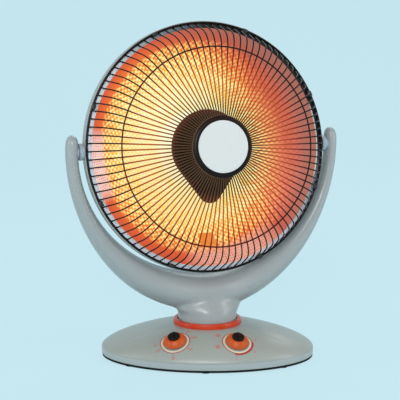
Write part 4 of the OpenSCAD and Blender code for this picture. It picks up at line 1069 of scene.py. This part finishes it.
# The lens's emission is painted light from the dish.
amber.feed("Emission Color", amber.mix(amber_cloud, paint(178, 92, 36), paint(206, 124, 52)))
amber.emboss(amber.noise(500, 2), 30e-6)
half = SENSOR_SIDE / 2
lens = block("amber_lens", (-half, -half, 0.95), (half, half, 2.35), 0.6, SENSOR)
fit(carve(lens, pillar("stem", 3, -5, 1, SENSOR), "UNION"), "head", "amber", amber, "sensor_plate")

# ---------------------------------------------------------------------------
# Guard: rim wire, radial wires, middle ring and clips.
# Ninety-six drawn steel wires run from the hub over a rounded shoulder to a
# thicker rim wire, with one ring welded under them, and all is coated black.
# The coating's emission is painted light from the dish, red-brown over its
# bright middle and fading to black at the rim. Eight folded clips hold the rim
# wire to the shell.
GUARD_R, WIRES, WIRE_R, RIM_WIRE_R, RING_WIRE_R = 180.2, 96, 0.85, 1.7, 1.1
GUARD_H, HUB_R, SLOPE, WIRE_LEAN, SHOULDER, WELD = 60, 43.8, radians(8), radians(20), 32, 0.3
foot_z = 0.6 - 2 * RIM_WIRE_R
foot_r = GUARD_R - RIM_WIRE_R - WIRE_R + WELD + (RIM_WIRE_R - 0.6) * tan(WIRE_LEAN)
leg = (GUARD_H - foot_z - (foot_r - HUB_R) * tan(SLOPE)) / (cos(WIRE_LEAN) - sin(WIRE_LEAN) * tan(SLOPE))
leg -= SHOULDER * tan((pi / 2 - SLOPE - WIRE_LEAN) / 2)
centre_r = foot_r - leg * sin(WIRE_LEAN) - SHOULDER * cos(WIRE_LEAN)
centre_z = foot_z + leg * cos(WIRE_LEAN) - SHOULDER * sin(WIRE_LEAN)
bend_r, bend_z = centre_r + SHOULDER * sin(SLOPE), centre_z + SHOULDER * cos(SLOPE)
wire_path = [(foot_r, foot_z)]
wire_path += [(centre_r + SHOULDER * cos(a), centre_z + SHOULDER * sin(a))
              for a in (WIRE_LEAN + (pi / 2 - SLOPE - WIRE_LEAN) * k / 8 for k in range(9))]
wire_path += [(bend_r + (HUB_R - 2 - bend_r) * f, bend_z + (bend_r - HUB_R + 2) * tan(SLOPE) * f)
              for f in (0.33, 0.66, 1.0)]
COAT = 0.15                             # thickness of the black coating
wires = []
for k in range(WIRES):
    at = HEAD @ spin(360 * k / WIRES, "Z")
    wires.append(rod("wire", [(r, 0, z) for r, z in wire_path], WIRE_R + COAT, (0, 1, 0), at=at))
coating = Finish("black wire coating", {"Roughness": 0.4, "Emission Strength": 1.0,
                                        "Specular IOR Level": 0.18})
radius, across, upward, *_ = polar(coating)
coating.feed("Base Color", coating.mix(coating.noise(300, 3), paint(5, 4, 4), paint(12, 10, 10)))
facing = across * cos(SHORT_GLOW_SIDE) + upward * sin(SHORT_GLOW_SIDE)
# Painted glow from the dish on the wires, by distance from the middle, leaning with the dish's painted
# glow.
lit = band(radius + facing * 10, 44.0, 178.0)
coating.feed("Emission Color", coating.ramp(lit, [
    (0.0, paint(70, 50, 30)), (0.14, paint(78, 50, 28)), (0.24, paint(146, 80, 30)),
    (0.42, paint(180, 82, 26)), (0.56, paint(156, 46, 18)), (0.66, paint(92, 18, 10)),
    (0.76, paint(24, 6, 5)), (0.86, paint(0, 0, 0))]))
coating.emboss(coating.noise(1300, 2), 20e-6)
fit(gather("radial_wires", wires, HEAD), "head", "wire_black", coating, "guard_wires", flat=60)


def hoop(name, r, z, wire_r, sides=12, steps=288):
    return rod(name, oval(r, r, z, steps), wire_r, (0, 0, 1), sides, True, HEAD)


MID_R = bend_r - 0.5
mid_z = bend_z + (bend_r - MID_R) * tan(SLOPE) - (WIRE_R + RING_WIRE_R) / cos(SLOPE) + 0.3
fit(hoop("rim_wire", GUARD_R, -RIM_WIRE_R, RIM_WIRE_R), "head", "wire_black", coating, "guard_rim", flat=60)
fit(hoop("middle_ring", MID_R, mid_z, RING_WIRE_R), "head", "wire_black", coating, "guard_ring", flat=60)
CLIPS, GROOVE_R, clips = 8, RIM_WIRE_R + 0.06, []
low, high = GUARD_R - RIM_WIRE_R - 2, GUARD_R + RIM_WIRE_R + 0.3
groove_turns = [2 * pi * i / 20 for i in range(20)]
groove_line = [(GUARD_R + GROOVE_R * cos(a), -RIM_WIRE_R + GROOVE_R * sin(a)) for a in groove_turns]
for k in range(CLIPS):
    at = HEAD @ spin(360 * (k + 0.5) / CLIPS + 180 / WIRES, "Z")
    fold = block("clip", (low, -4, 0.05 - 2 * RIM_WIRE_R), (high, 4, 1.8), 0.7, at)
    clips.append(carve(fold, turned("groove", groove_line, 288, HEAD)))
clip_black = moulded("black clip steel", paint(30, 29, 29), 0.35, 0.1, 20e-6)
fit(gather("rim_clips", clips, HEAD), "head", "wire_black", clip_black, "guard_clips")

# ---------------------------------------------------------------------------
# Hub and disc.
# A black moulded hub takes the inner ends of the wires, with a bright trim
# ring behind its edge. A plain pale disc, slightly domed, is glued in front.
HUB_TOP, DISC_R, DISC_RISE = 64, 37, 1.6
hub_line = eased([(0, GUARD_H - 4, 0), (HUB_R - 0.6, GUARD_H - 4, 0.3), (HUB_R, GUARD_H - 3, 0.6),
                  (HUB_R, GUARD_H + 1.6, 0.8), (HUB_R - 1.4, HUB_TOP - 0.6, 0.8), (HUB_R - 3, HUB_TOP, 0.8),
                  (DISC_R + 0.5, HUB_TOP, 0.4), (DISC_R + 0.2, HUB_TOP - 2, 0.1), (0, HUB_TOP - 2, 0)])
hub_black = moulded("brown-black hub", paint(10, 6, 5), 0.38, 0.1, 12e-6, 1500,
                    {"Specular IOR Level": 0.2, "Emission Strength": 1.0})
upward = polar(hub_black)[2]
# The hub's emission is painted glow from the dish, stronger towards its top.
hub_black.feed("Emission Color", hub_black.mix(band(upward, -0.6, 0.9), paint(4, 1, 1), paint(24, 6, 4)))
fit(turned("guard_hub_moulding", hub_line, 144, HEAD), "head", "hub_black", hub_black, "guard_hub")
trim = Finish("polished trim", {"Metallic": 1.0, "Roughness": 0.18})
trim.feed("Base Color", trim.mix(trim.noise(200, 2), paint(190, 188, 180), paint(220, 216, 206)))
fit(hoop("hub_trim", HUB_R - 0.35, GUARD_H - 3.4, 0.55, 10, 192), "head", "steel", trim)
disc_line = [(0, HUB_TOP - 1.95), (DISC_R - 0.3, HUB_TOP - 1.95), (DISC_R, HUB_TOP - 1.6)]
disc_line += [(DISC_R, HUB_TOP - 0.5)]
disc_line += [(r, HUB_TOP - 0.2 + DISC_RISE * (1 - (r / DISC_R) ** 2))
              for r in (DISC_R - 0.4, 35, 32, 28, 24, 20, 16, 12, 8, 4, 0)]
disc_white = moulded("pale disc", paint(207, 209, 208), 0.42, 0.02, 8e-6, 1500, {"Specular IOR Level": 0.3})
fit(turned("plain_disc", disc_line, 144, HEAD), "head", "disc_white", disc_white, "hub_disc")

# ---------------------------------------------------------------------------
# Studio.
# A pale blue sweep of floor and backdrop, a big soft lamp in front, a small
# flash beside the camera, a strip lamp on each side and a lamp behind.
sky = paint(201, 233, 242)
sweep_line = [(-4.0, 0.0), (2.2, 0.0)]
sweep_line += [(2.2 + 1.2 * sin(radians(a)), 1.2 - 1.2 * cos(radians(a))) for a in range(9, 91, 9)]
sweep_line += [(3.4, 4.5)]
sweep_points = [(x / MM, y / MM, z / MM) for y, z in sweep_line for x in (-5, 5)]
sweep_faces = [(2 * k, 2 * k + 1, 2 * k + 3, 2 * k + 2) for k in range(len(sweep_line) - 1)]
stage = piece("sweep", sweep_points, sweep_faces)
stage.data.shade_smooth()
paper = Finish("pale blue paper", {"Roughness": 0.9, "Specular IOR Level": 0.1, "Base Color": sky})
rays = paper.add("ShaderNodeLightPath", {}, {}, "Is Camera Ray")
seen = rays + rays.other("Is Glossy Ray") + rays.other("Is Transmission Ray")
shine = paper.add("ShaderNodeEmission", {}, {"Color": sky, "Strength": 1.0})
plain = Field(paper, paper.shader.outputs[0])
blend = paper.add("ShaderNodeMixShader", {}, {0: seen * 0.86, 1: plain, 2: shine})
paper.join(paper.tree.nodes["Material Output"].inputs["Surface"], blend)
stage.data.materials.append(paper.material)

world = bpy.data.worlds.new("soft room")
world.use_nodes = True
world.node_tree.nodes["Background"].inputs["Color"].default_value = (1.0, 0.99, 0.98, 1.0)
world.node_tree.nodes["Background"].inputs["Strength"].default_value = 0.5
bpy.context.scene.world = world


def lamp(name, spot, aim, width, height, power):
    light = bpy.data.lights.new(name, "AREA")
    light.shape, light.size, light.size_y, light.energy = "RECTANGLE", width, height, power
    obj = placed(name, light)
    obj.location = spot
    obj.rotation_euler = (Vector(aim) - Vector(spot)).to_track_quat("-Z", "Y").to_euler()


lamp("front lamp", (-0.4, -2.8, 1.5), (0, 0, 0.25), 1.4, 1.0, 34)
lamp("flash", (0.12, -1.85, 0.72), (0, 0, 0.28), 0.09, 0.06, 4.5)
lamp("left strip", (-1.9, -0.6, 0.9), (0, 0, 0.25), 0.5, 1.8, 8)
lamp("right strip", (1.9, -0.5, 0.9), (0, 0, 0.25), 0.5, 1.8, 12)
lamp("back lamp", (0.4, 2.0, 2.2), (0, 0, 0.3), 1.6, 1.2, 18)

camera = placed("camera", bpy.data.cameras.new("camera"))
camera.location = (0.0408, -1.7496, 0.5004)
camera.rotation_euler = (radians(81.30), 0, radians(1.69))
camera.data.lens, camera.data.sensor_width = 108.98, 36
bpy.context.scene.camera = camera
bpy.context.scene.view_settings.view_transform = "Standard"
